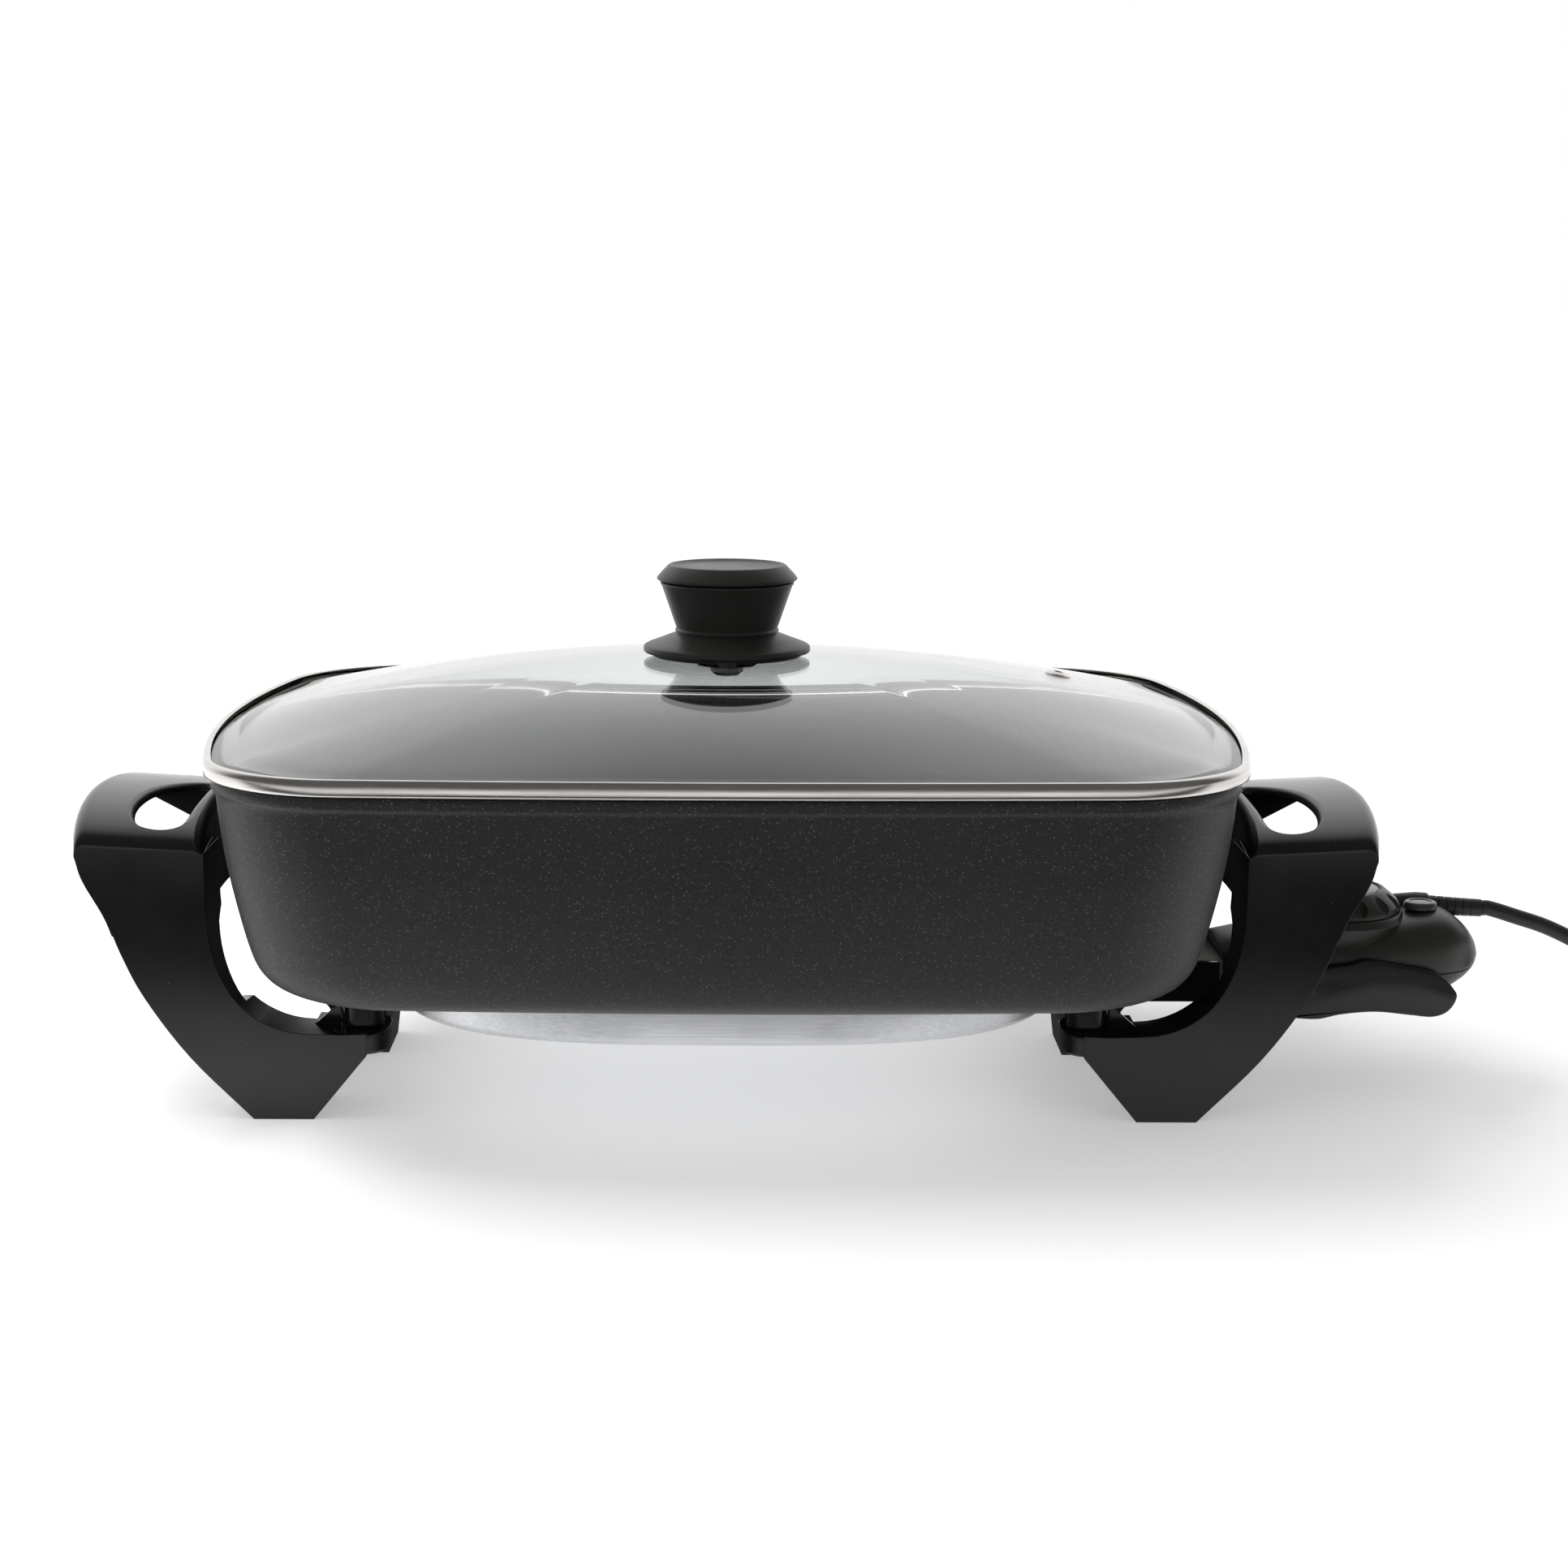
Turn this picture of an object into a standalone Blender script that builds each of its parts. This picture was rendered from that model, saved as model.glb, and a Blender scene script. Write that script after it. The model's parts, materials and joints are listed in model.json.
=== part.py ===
"""Electric skillet: pan with a heating base, glass lid, two leg brackets, and a plug-in
thermostat controller with its cord. Units are metres, +Z is up, the feet stand on z = 0.
Pieces are modelled about the pan's middle; an empty shifts them so that the whole object,
without its cord, is centred over the origin."""

import math

import bmesh
import bpy
from mathutils import Matrix, Vector

# Clearances
SEAT_GAP = 0.0003          # between pieces that rest on each other
FIT_GAP = 0.0004           # round pieces that slide into a hole
OVERRUN = 0.002            # how far a cut runs past the face it opens

# Heights, from the floor up
BASE_CLEARANCE = 0.0421
PLATE_THICK = 0.0147
PAN_HEIGHT = 0.0862
BAND_HEIGHT = 0.0075
PLATE_Z = BASE_CLEARANCE
PAN_Z = PLATE_Z + PLATE_THICK + SEAT_GAP
PAN_RIM_Z = PAN_Z + PAN_HEIGHT
BAND_Z = PAN_RIM_Z + SEAT_GAP
BAND_TOP_Z = BAND_Z + BAND_HEIGHT

# Pan
PAN_LENGTH = 0.4010
PAN_WIDTH = 0.2990
PAN_CORNER = 0.0400
PAN_WALL = 0.0030
PAN_RIM_ROLL = 0.0014      # how far the rim stands proud of the wall
PAN_RIM_DEPTH = 0.0040
SIDE_BOW = 0.0210          # bulge of the short sides in plan
FRONT_BOW = 0.0050         # bulge of the long sides in plan
PAN_TAPER = 0.0125         # inward lean of the wall from rim to bottom corner
PAN_FOOT_RADIUS = 0.0240   # radius between wall and bottom
PAN_FOOT_STEPS = 3
CORNER_STEPS = 4
SIDE_STEPS = 4

# Heating base
PLATE_HALF_X = 0.1310
PLATE_HALF_Y = 0.1100
PLATE_POWER = 3.0
PLATE_EDGE = 0.0030
PLATE_STEPS = 40
ELEMENT_RADIUS = 0.0035
ELEMENT_TURN_RADIUS = 0.0140
ELEMENT_LOOP_X = 0.0960
ELEMENT_LOOP_Y = 0.0740
ELEMENT_STUB = 0.0040      # how far the element stands out of the plate
PIN_SPREAD = 0.0140        # each pin's distance from the middle
PIN_RADIUS = 0.0022
PIN_REACH = 0.1890         # pin tips from the pan's middle
BEAD_RADIUS = 0.0042
BEAD_LENGTH = 0.0045
AXIS_Z = PLATE_Z + PLATE_THICK / 2
WELL_RADIUS = 0.0048
WELL_BORE = 0.0036
WELL_DEPTH_X = 0.0900      # blind end of the well
WELL_STUB = 0.0025

# Terminal guard
GUARD_HALF = 0.0280
GUARD_WALL = 0.0025
GUARD_INNER_X = 0.1120
GUARD_OUTER_X = 0.1980
GUARD_TOP_DROP = 0.0015    # below the pan's bottom
GUARD_SCREW_X = 0.1220
GUARD_SCREW_Y = 0.0205
SCREW_RADIUS = 0.0018
SCREW_HEAD_RADIUS = 0.0036
SCREW_HEAD_THICK = 0.0018
HEAD_EDGE_SHARE = 0.6      # height at which a screw's head starts to round over
HEAD_FLAT_SHARE = 0.7      # flat part of a screw's head
GUARD_SCREW_LENGTH = 0.0085

# Brackets: handle, two legs and two pads in one moulding
BRACKET_HALF_DEPTH = 0.0640
BRACKET_WALL = 0.0030
HANDLE_REACH = 0.2575      # outermost point from the pan's middle
HANDLE_BOW = 0.0065
HANDLE_INNER = 0.2010
HANDLE_INNER_BOW = 0.0035
HANDLE_TOP_Z = 0.1221
HANDLE_CROWN = 0.0067      # fall from the middle of the handle to its ends
HANDLE_ROLL = 0.0060
HANDLE_EDGE = 0.0030
SKIRT_MID_Z = 0.0910
SKIRT_FRONT_Z = 0.0730
SKIRT_REAR_Z = 0.1040
SKIRT_INNER_Z = 0.0810
LEG_DEPTH = 0.0330
LEG_OUTER = 0.2505
FOOT_OUTER = 0.1843
FOOT_INNER = 0.1609
REAR_FOOT_OUTER = 0.1640
REAR_FOOT_INNER = 0.1430
PAD_TOP_Z = 0.0345
PAD_THICK = 0.0090
PAD_RADIUS = 0.0126
PAD_ROUND = 0.0035
POST_X = 0.1430
POST_Y = 0.0480
POST_RADIUS = 0.0082
POST_BORE = 0.0020
BRACKET_SCREW_RADIUS = 0.0018
BRACKET_HEAD_RADIUS = 0.0040
BRACKET_HEAD_THICK = 0.0024
BRACKET_RECESS = 0.0030
GUSSET_THICK = 0.0026
GUSSET_RUN = 0.0110
GUSSET_RISE = 0.0080
FINGER_HALF_Y = 0.0500
FINGER_INNER = 0.2125
FINGER_OUTER = 0.2335
FINGER_BOW = 0.0045
FINGER_POWER = 2.6
HOLLOW_EDGE_SHARE = 0.8    # how far the hollow's edge follows the outer one
INSET_LIMIT_SHARE = 0.95   # nearest that a wall's inner face comes to the outer one
DECK_STATIONS = 3
ROLL_STATIONS = 2
LEG_STATIONS = 1
SKIRT_STEPS = 2
FRONT_OUTER_SHARES = (
    (1.000, 0.972), (0.975, 0.858), (0.899, 0.715), (0.860, 0.590), (0.790, 0.430),
    (0.650, 0.220),
)
FRONT_INNER_SHARES = (
    (0.158, 0.303), (0.340, 0.316), (0.470, 0.390), (0.550, 0.520), (0.585, 0.690),
    (0.588, 0.972),
)
REAR_OUTER_SHARES = (
    (0.890, 0.972), (0.740, 0.885), (0.640, 0.760), (0.615, 0.580), (0.560, 0.410),
    (0.400, 0.270), (0.300, 0.150),
)
REAR_INNER_SHARES = (
    (0.158, 0.303), (0.300, 0.330), (0.430, 0.445), (0.515, 0.610), (0.560, 0.790),
    (0.588, 0.972),
)

# Lid
LID_OVERHANG = 0.0025
BAND_THICK = 0.0009
BAND_LIP = 0.0055
GLASS_THICK = 0.0040
GLASS_INSET = 0.0003
DOME_RISE = 0.0262
DOME_POWER = 2.35
DOME_RINGS = 5
DOME_RING_POWER = 0.85     # spacing of the rings from the knob to the brim
BRIM_WIDTH = 0.0050
KNOB_HOLE = 0.0040
VENT_X = 0.1330
VENT_Y = 0.0220
VENT_RADIUS = 0.0030
VENT_FLANGE = 0.0048
VENT_FLANGE_THICK = 0.0006
VENT_WALL = 0.0006

# Knob
KNOB_FLANGE_RADIUS = 0.0335
KNOB_FLANGE_EDGE = 0.0035
KNOB_COLLAR_RADIUS = 0.0200
KNOB_COLLAR_Z = 0.0090
KNOB_WAIST_LIP = 0.0010
KNOB_CAP_RADIUS = 0.0281
KNOB_CAP_TOP_RADIUS = 0.0236
KNOB_CAP_Z = 0.0285
KNOB_HEIGHT = 0.0350
KNOB_CAP_DISH = 0.0010
KNOB_CAP_SKIRT = 0.0015
KNOB_STEP_SHARE = 0.3      # height of the thin ring under the waist
KNOB_BITE_SHARE = 0.8      # how far the screw reaches into the insert
# share of the flange's radius, share of its edge
KNOB_FLANGE_SHARES = ((0.80, 1.70), (0.97, 1.00), (1.00, 0.75))
# share of the cap's top disc that is dished, and of it and the cap's rise at the bevel
KNOB_DISH_SHARES = (0.80, 0.96)
KNOB_BEVEL_SHARES = (0.05, 0.25, 0.10)
INSERT_RADIUS = 0.0055
INSERT_LENGTH = 0.0120
INSERT_BORE = 0.0022
SEAL_RADIUS = 0.0300
SEAL_THICK = 0.0012
SEAL_NUB_RADIUS = 0.0036
WASHER_RADIUS = 0.0120
WASHER_THICK = 0.0015
KNOB_SCREW_RADIUS = 0.0018
KNOB_SCREW_HEAD = 0.0065
KNOB_SCREW_HEAD_THICK = 0.0025

# Controller housing, along X from the pan's middle
NOSE_X = 0.1720
NOSE_LENGTH = 0.0360
NOSE_HALF = 0.0225
NOSE_HEIGHT = 0.0116
HOUSING_WALL = 0.0023
HOUSING_POWER = 2.9
HOUSING_STEPS = 18
HOUSING_START = 0.2000
HOUSING_END = 0.3074
HOUSING_HALF = 0.0262
HOUSING_TOP_Z = 0.0726
HOUSING_BOTTOM_Z = 0.0380
PARTING_Z = 0.0500
# share along the housing, share of half width, share of height at top and at bottom
HOUSING_SHARES = (
    (0.000, 0.930, 0.639, 0.064), (0.130, 0.965, 0.725, 0.017), (0.300, 0.993, 0.812, 0.000),
    (0.520, 1.000, 0.884, 0.000), (0.708, 0.993, 0.971, 0.000), (0.838, 0.901, 1.000, 0.046),
    (0.922, 0.680, 0.870, 0.170), (0.973, 0.404, 0.682, 0.290), (1.000, 0.130, 0.494, 0.400),
)
SLEEVE_RADIUS = 0.0038
SLEEVE_BORE = 0.0027
SLEEVE_LENGTH = 0.0300
PROBE_RADIUS = 0.0031
PROBE_TIP_GAP = 0.0030     # from the probe's tip to the blind end of the well
PROBE_COLLAR_RADIUS = 0.0052
PROBE_COLLAR_THICK = 0.0030
BOSS_RADIUS = 0.0042
HOUSING_SCREW_RADIUS = 0.0013
HOUSING_HEAD_RADIUS = 0.0025
HOUSING_HEAD_THICK = 0.0015
HOUSING_SCREW_SHARE = 0.0655   # places along the controller, as shares of its room
HOUSING_SCREW_Y = 0.0170
HOUSING_SCREW_LENGTH = 0.0150
BOSS_SHARE = 0.75          # the screw boss's length as a share of the screw's
PROBE_TIP_SHARES = (0.7, 0.3)

# Finger grip under the housing
GRIP_WALL = 0.0028
GRIP_START_SHARE = 0.1501
GRIP_END_SHARE = 0.8520
GRIP_TOP_Z = 0.0570
GRIP_BOTTOM_Z = 0.0324
GRIP_SHARES = (
    (0.000, 0.020), (0.000, 0.800), (0.196, 0.880), (0.342, 0.930), (0.444, 1.000),
    (0.598, 0.935), (0.864, 0.793), (0.983, 0.508), (1.000, 0.341), (0.949, 0.130),
    (0.858, 0.041), (0.723, 0.070), (0.517, 0.122), (0.316, 0.080), (0.179, 0.000),
    (0.075, 0.000),
)
GRIP_FOOT_RADIUS = 0.0045
GRIP_FOOT_SHARE = 0.2082
GRIP_FOOT_HEIGHT = 0.0040

# Dial
DIAL_SHARE = 0.3784
DIAL_RADIUS = 0.0268
DIAL_TOP_RADIUS = 0.0200
DIAL_Z = 0.0722
DIAL_HEIGHT = 0.0088
DIAL_NOTCHES = 14
DIAL_NOTCH_RADIUS = 0.0022
DIAL_NOTCH_TILT = math.radians(38)
DIAL_INSERT_THICK = 0.0008
DIAL_WALL = 0.0022
DIAL_SIDE_SHARES = ((0.93, 0.55), (1.00, 0.20))
DIAL_HOLLOW_SHARES = (1.3, 0.25)
DIAL_NOTCH_SHARES = (0.75, 0.62, 0.42)     # reach outwards, middle's height, half length
PEDESTAL_RADIUS = 0.0280
PEDESTAL_FLARE = 0.0015
PEDESTAL_DROP = 0.0110
SHAFT_RADIUS = 0.0030

# Thermostat
FRAME_END_SHARE = 0.5835
FRAME_HALF = 0.0070
FRAME_THICK = 0.0012
FRAME_Z = 0.0420
BLADE_THICK = 0.0005
BLADE_HALF = 0.0035
BLADE_Z = 0.0480
BLADE_SPACING = 0.0035
BLADE_START_SHARE = 0.0761
BLADE_STAGGER_SHARE = 0.5
STACK_RADIUS = 0.0040
STACK_CORE = 0.0020
STACK_SHARE = 0.5201
CONTACT_RADIUS = 0.0016
CONTACT_SHARE = 0.1818
CONTACT_THICK = 0.0010
LAMP_SHARE = 0.7442
LAMP_Y = -0.0040
LENS_RADIUS = 0.0066
LENS_TOP_Z = 0.0757
LENS_THICK = 0.0060
LENS_CORE = 0.0040
LENS_FACE_SHARES = (0.7, 0.15)
LAMP_TIP_SHARES = (0.6, 0.3)
LAMP_RADIUS = 0.0028
LAMP_LENGTH = 0.0090
LEAD_RADIUS = 0.0009
LEAD_SPREAD_SHARE = 1.6    # each lead's start from the middle, in its own radii
CLAMP_LENGTH = 0.0030

# Cord
CORD_DIAMETER = 0.0064
RELIEF_SHARE = 0.7949
RELIEF_Y = 0.0100
RELIEF_Z = 0.0709
RELIEF_TILT = math.radians(3)
RELIEF_ROOT = 0.0050
RELIEF_LENGTH = 0.0240
RELIEF_ROOT_RADIUS = 0.0041
RELIEF_TIP_RADIUS = 0.0036
RELIEF_WAIST_SHARE = 1.05
LEAD_WAY_SHARE = 0.8       # width of the leads' way out of the turret
TURRET_WALL = 0.0013
TURRET_LENGTH = 0.0125
TURRET_LIP = 0.0015
# the cord's way down to the table, its x counted from the strain relief's root
CORD_POINTS = (
    (0.0380, 0.0100, 0.0662), (0.0540, 0.0100, 0.0606), (0.0730, 0.0100, 0.0500),
    (0.0900, 0.0100, 0.0330), (0.1050, 0.0098, 0.0170), (0.1200, 0.0092, 0.0080),
)
CORD_SMOOTH_STEPS = 4
COIL_REACH = 0.1450        # from the strain relief's root to the coil's middle
COIL_RADIUS = 0.0350
COIL_TURNS = 3.25
COIL_LAYERS = 2
COIL_SPACE = 0.0007        # air between neighbouring turns
COIL_STEPS = 24
COIL_CLIMB = 0.25          # the climb takes this share of a turn before and after the middle
TIE_THICK = 0.0008
TIE_WIDTH = 0.0050
TIE_ANGLE = math.radians(150)
TAIL_LENGTH = 0.0440
PLUG_LENGTH = 0.0330
PLUG_HALF_WIDTH = 0.0125
PLUG_HALF_HEIGHT = 0.0080
PLUG_NECK = 0.0046
PLUG_STEPS = 20
PLUG_NECK_SHARE = 0.20
# share along the body, share of its half width, share of its half height
PLUG_SHARES = ((0.42, 0.80, 0.90), (0.70, 1.00, 1.00), (1.00, 0.95, 0.95))
BLADE_TIP_SHARES = (0.9, 0.7)
BLADE_PIN_LENGTH = 0.0175
BLADE_PIN_WIDTH = 0.0063
BLADE_PIN_THICK = 0.0015
BLADE_PIN_SPREAD = 0.0127

ROUND = 24                 # sides of a large turned piece
SMALL_ROUND = 8            # sides of a small one
MERGE = 0.00001
FLAT_ANGLE = math.radians(0.05)

SIDES = ((-1, "front"), (1, "rear"))

PROBE_TAIL_X = NOSE_X + NOSE_LENGTH + SEAT_GAP + PROBE_COLLAR_THICK
FRAME_X0 = PROBE_TAIL_X + SEAT_GAP
ROOM_X = FRAME_X0 + FRAME_THICK
ROOM = HOUSING_END - ROOM_X
HOUSING_SCREW_X = ROOM_X + ROOM * HOUSING_SCREW_SHARE
GRIP_START = ROOM_X + ROOM * GRIP_START_SHARE
GRIP_END = ROOM_X + ROOM * GRIP_END_SHARE
GRIP_FOOT_X = ROOM_X + ROOM * GRIP_FOOT_SHARE
DIAL_X = ROOM_X + ROOM * DIAL_SHARE
FRAME_X1 = ROOM_X + ROOM * FRAME_END_SHARE
BLADE_X0 = ROOM_X + ROOM * BLADE_START_SHARE
STACK_X = ROOM_X + ROOM * STACK_SHARE
CONTACT_X = ROOM_X + ROOM * CONTACT_SHARE
LAMP_X = ROOM_X + ROOM * LAMP_SHARE
RELIEF_X = ROOM_X + ROOM * RELIEF_SHARE
COIL_X = RELIEF_X + COIL_REACH
SHAFT_BOTTOM_Z = BLADE_Z + BLADE_SPACING + BLADE_THICK + SEAT_GAP
GLASS_Z = BAND_Z + BAND_THICK + SEAT_GAP
BAND_EDGE = BAND_THICK * 0.8
PAN_SHIFT = (HANDLE_REACH - HOUSING_END) / 2
LID_Z = PAN_RIM_Z


def clear_scene():
    for obj in list(bpy.data.objects):
        bpy.data.objects.remove(obj, do_unlink=True)


def new_collection(name):
    coll = bpy.data.collections.new(name)
    bpy.context.scene.collection.children.link(coll)
    return coll


clear_scene()
PARTS = new_collection("electric_skillet")
CUTTERS = new_collection("cutters")


def material(name, colour, roughness, metallic=0.0):
    mat = bpy.data.materials.new(name)
    mat.use_nodes = True
    shader = mat.node_tree.nodes["Principled BSDF"]
    shader.inputs["Base Color"].default_value = (*colour, 1.0)
    shader.inputs["Roughness"].default_value = roughness
    shader.inputs["Metallic"].default_value = metallic
    mat.diffuse_color = (*colour, 1.0)
    return mat


NONSTICK = material("nonstick", (0.040, 0.040, 0.045), 0.55)
CAST = material("cast_aluminium", (0.62, 0.64, 0.67), 0.45, 0.9)
GLOSS = material("gloss_phenolic", (0.012, 0.012, 0.013), 0.18)
MATTE = material("matte_phenolic", (0.030, 0.030, 0.028), 0.50)
GLASS = material("tempered_glass", (0.62, 0.68, 0.66), 0.05)
STEEL = material("steel", (0.70, 0.69, 0.67), 0.25, 1.0)
BRASS = material("brass", (0.72, 0.55, 0.25), 0.30, 1.0)
CERAMIC = material("ceramic", (0.85, 0.83, 0.78), 0.60)
RUBBER = material("cord_rubber", (0.025, 0.025, 0.024), 0.55)
SILICONE = material("silicone", (0.05, 0.05, 0.05), 0.60)
PALE = material("pale_plastic", (0.55, 0.55, 0.52), 0.35)
AMBER = material("lamp_lens", (0.20, 0.18, 0.16), 0.20)
LAMP = material("neon_glass", (0.80, 0.45, 0.30), 0.10)


def empty(name, parent, location):
    obj = bpy.data.objects.new(name, None)
    obj.empty_display_size = CORD_DIAMETER
    obj.location = location
    obj.parent = parent
    PARTS.objects.link(obj)
    return obj


PAN_MIDDLE = empty("pan_middle", None, (PAN_SHIFT, 0, 0))
LID_AXIS = empty("lid_axis", PAN_MIDDLE, (0, 0, LID_Z))
PLUG_AXIS = empty("controller_axis", PAN_MIDDLE, (NOSE_X, 0, AXIS_Z))
DIAL_AXIS = empty("dial_axis", PLUG_AXIS, (DIAL_X - NOSE_X, 0, DIAL_Z - AXIS_Z))


def origin_of(parent):
    """Where a parent empty stands, measured from the pan's middle."""
    place = Vector((0, 0, 0))
    while parent is not None and parent is not PAN_MIDDLE:
        place = place + parent.location
        parent = parent.parent
    return place


def mesh_object(name, bm):
    bmesh.ops.recalc_face_normals(bm, faces=bm.faces)
    mesh = bpy.data.meshes.new(name)
    bm.to_mesh(mesh)
    bm.free()
    return bpy.data.objects.new(name, mesh)


def cutter(obj):
    CUTTERS.objects.link(obj)
    obj.display_type = "WIRE"
    obj.hide_render = True
    return obj


def shape(obj, other, operation="DIFFERENCE"):
    mod = obj.modifiers.new(operation.lower(), "BOOLEAN")
    mod.operation = operation
    mod.solver = "EXACT"
    mod.object = other
    return obj


def settle(obj):
    """Applies an object's modifiers, or turns a curve into a mesh with welded caps."""
    bpy.context.view_layer.update()
    depsgraph = bpy.context.evaluated_depsgraph_get()
    mesh = bpy.data.meshes.new_from_object(obj.evaluated_get(depsgraph))
    bm = bmesh.new()
    bm.from_mesh(mesh)
    bmesh.ops.remove_doubles(bm, verts=bm.verts, dist=MERGE)
    bmesh.ops.dissolve_degenerate(bm, edges=bm.edges, dist=MERGE)
    bmesh.ops.recalc_face_normals(bm, faces=bm.faces)
    bm.to_mesh(mesh)
    bm.free()
    solid = bpy.data.objects.new(obj.name, mesh)
    solid.matrix_world = obj.matrix_world.copy()
    name = obj.name
    bpy.data.objects.remove(obj, do_unlink=True)
    solid.name = name
    return solid


def finish(obj, name, mat, parent=PAN_MIDDLE, smooth=True):
    """Names a piece, gives it its material and hangs it on the empty that carries it."""
    if obj.name in CUTTERS.objects:
        CUTTERS.objects.unlink(obj)
    obj.display_type = "TEXTURED"
    obj.hide_render = False
    obj.name = name
    obj.data.name = name
    obj.data.materials.clear()
    obj.data.materials.append(mat)
    PARTS.objects.link(obj)
    shift = origin_of(parent)
    obj.data.transform(Matrix.Translation(-shift))
    for mod in obj.modifiers:
        if mod.type == "BOOLEAN":
            carry(mod.object, parent, shift)
    obj.parent = parent
    if smooth and obj.type == "MESH":
        obj.data.shade_smooth()
        obj.data.set_sharp_from_angle(angle=math.radians(35))
    return obj


def carry(tool, parent, shift):
    """Cutters move with the piece that they shape."""
    if tool.parent is None:
        tool.parent = parent
        tool.location = tool.location - shift


def loft(name, rings, closed=False):
    """Skin between rings of equal count; the ends are capped, or joined when closed."""
    bm = bmesh.new()
    loops = [[bm.verts.new(point) for point in ring] for ring in rings]
    pairs = list(zip(loops, loops[1:]))
    if closed:
        pairs.append((loops[-1], loops[0]))
    count = len(loops[0])
    for low, high in pairs:
        for i in range(count):
            j = (i + 1) % count
            bm.faces.new((low[i], low[j], high[j], high[i]))
    if not closed:
        bm.faces.new(list(reversed(loops[0])))
        bm.faces.new(loops[-1])
    bmesh.ops.connect_verts_nonplanar(bm, angle_limit=FLAT_ANGLE, faces=bm.faces)
    return mesh_object(name, bm)


def box(name, low, high):
    bm = bmesh.new()
    bmesh.ops.create_cube(bm, size=1)
    size = [b - a for a, b in zip(low, high)]
    middle = [(a + b) / 2 for a, b in zip(low, high)]
    bmesh.ops.scale(bm, verts=bm.verts, vec=size)
    bmesh.ops.translate(bm, verts=bm.verts, vec=middle)
    return mesh_object(name, bm)


def cylinder(name, start, end, radius, end_radius=None, sides=SMALL_ROUND):
    start = Vector(start)
    end = Vector(end)
    along = end - start
    bm = bmesh.new()
    bmesh.ops.create_cone(bm, cap_ends=True, segments=sides, radius1=radius,
                          radius2=radius if end_radius is None else end_radius,
                          depth=along.length)
    turn = Vector((0, 0, 1)).rotation_difference(along.normalized()).to_matrix()
    bmesh.ops.rotate(bm, verts=bm.verts, matrix=turn)
    bmesh.ops.translate(bm, verts=bm.verts, vec=(start + end) / 2)
    return mesh_object(name, bm)


def turned(name, profile, location=(0, 0, 0), sides=ROUND):
    """A profile of (radius, height) turned about Z with a Screw modifier, then settled."""
    mesh = bpy.data.meshes.new(name)
    verts = [(radius, 0, height) for radius, height in profile]
    edges = [(i, i + 1) for i in range(len(verts) - 1)]
    if profile[0][0] > 0 and profile[-1][0] > 0:
        edges.append((len(verts) - 1, 0))
    mesh.from_pydata(verts, edges, [])
    obj = bpy.data.objects.new(name, mesh)
    bpy.context.scene.collection.objects.link(obj)
    mod = obj.modifiers.new("turn", "SCREW")
    mod.steps = sides
    mod.render_steps = sides
    mod.use_merge_vertices = True
    mod.merge_threshold = MERGE
    solid = settle(obj)
    solid.data.transform(Matrix.Translation(location))
    return solid


def plate(name, points, low, high, axis="Z"):
    """A flat outline given as (u, v) points, filled as a 2D curve and made low to high
    thick along Z, or along Y with u and v as X and Z."""
    curve = bpy.data.curves.new(name, "CURVE")
    curve.dimensions = "2D"
    curve.fill_mode = "BOTH"
    curve.extrude = (high - low) / 2
    spline = curve.splines.new("POLY")
    spline.points.add(len(points) - 1)
    for spot, (u, v) in zip(spline.points, points):
        spot.co = (u, v, 0, 1)
    spline.use_cyclic_u = True
    obj = bpy.data.objects.new(name, curve)
    bpy.context.scene.collection.objects.link(obj)
    solid = settle(obj)
    middle = (low + high) / 2
    if axis == "Y":
        solid.data.transform(Matrix(((1, 0, 0, 0), (0, 0, 1, 0), (0, 1, 0, 0), (0, 0, 0, 1))))
        solid.data.transform(Matrix.Translation((0, middle, 0)))
        solid.data.flip_normals()
    else:
        solid.data.transform(Matrix.Translation((0, 0, middle)))
    return solid


def tube(name, points, radius, resolution=2):
    """A round rod or cable along points, with filled ends."""
    curve = bpy.data.curves.new(name, "CURVE")
    curve.dimensions = "3D"
    curve.bevel_depth = radius
    curve.bevel_resolution = resolution
    curve.use_fill_caps = True
    spline = curve.splines.new("POLY")
    spline.points.add(len(points) - 1)
    for spot, place in zip(spline.points, points):
        spot.co = (*place, 1)
    obj = bpy.data.objects.new(name, curve)
    bpy.context.scene.collection.objects.link(obj)
    return settle(obj)


def smooth_line(points, steps):
    """Points along a smooth curve through the given ones."""
    spots = [Vector(p) for p in points]
    spots = [spots[0] * 2 - spots[1]] + spots + [spots[-1] * 2 - spots[-2]]
    line = []
    for a, b, c, d in zip(spots, spots[1:], spots[2:], spots[3:]):
        for i in range(steps):
            t = i / steps
            line.append(0.5 * (2 * b + (c - a) * t + (2 * a - 5 * b + 4 * c - d) * t ** 2
                               + (3 * b - a - 3 * c + d) * t ** 3))
    line.append(spots[-2])
    return line


def smooth_outline(points, steps=2):
    return [(p.x, p.y) for p in smooth_line([(x, z, 0) for x, z in points], steps)]


def off_line(spot, start, end):
    """Distance from a point to a straight stretch."""
    along = end - start
    share = min(max((spot - start).dot(along) / along.length_squared, 0), 1)
    return (spot - start - along * share).length


def inset(points, distance):
    """A closed outline moved inwards by a wall's thickness, without the spots that would
    cross over at tight corners."""
    spots = [Vector(point) for point in points]
    sides = list(zip(spots, spots[1:] + spots[:1]))
    turn = 1 if sum(a.cross(b) for a, b in sides) > 0 else -1
    moved = []
    for (before, here), (_, after) in zip(sides[-1:] + sides[:-1], sides):
        one = (here - before).normalized()
        two = (after - here).normalized()
        normal = Vector((-(one.y + two.y), one.x + two.x)).normalized() * turn
        lean = normal.dot(Vector((-one.y, one.x)) * turn)
        spot = here + normal * distance / max(lean, 0.5)
        if min(off_line(spot, a, b) for a, b in sides) > distance * INSET_LIMIT_SHARE:
            moved.append(tuple(spot))
    return moved


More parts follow.
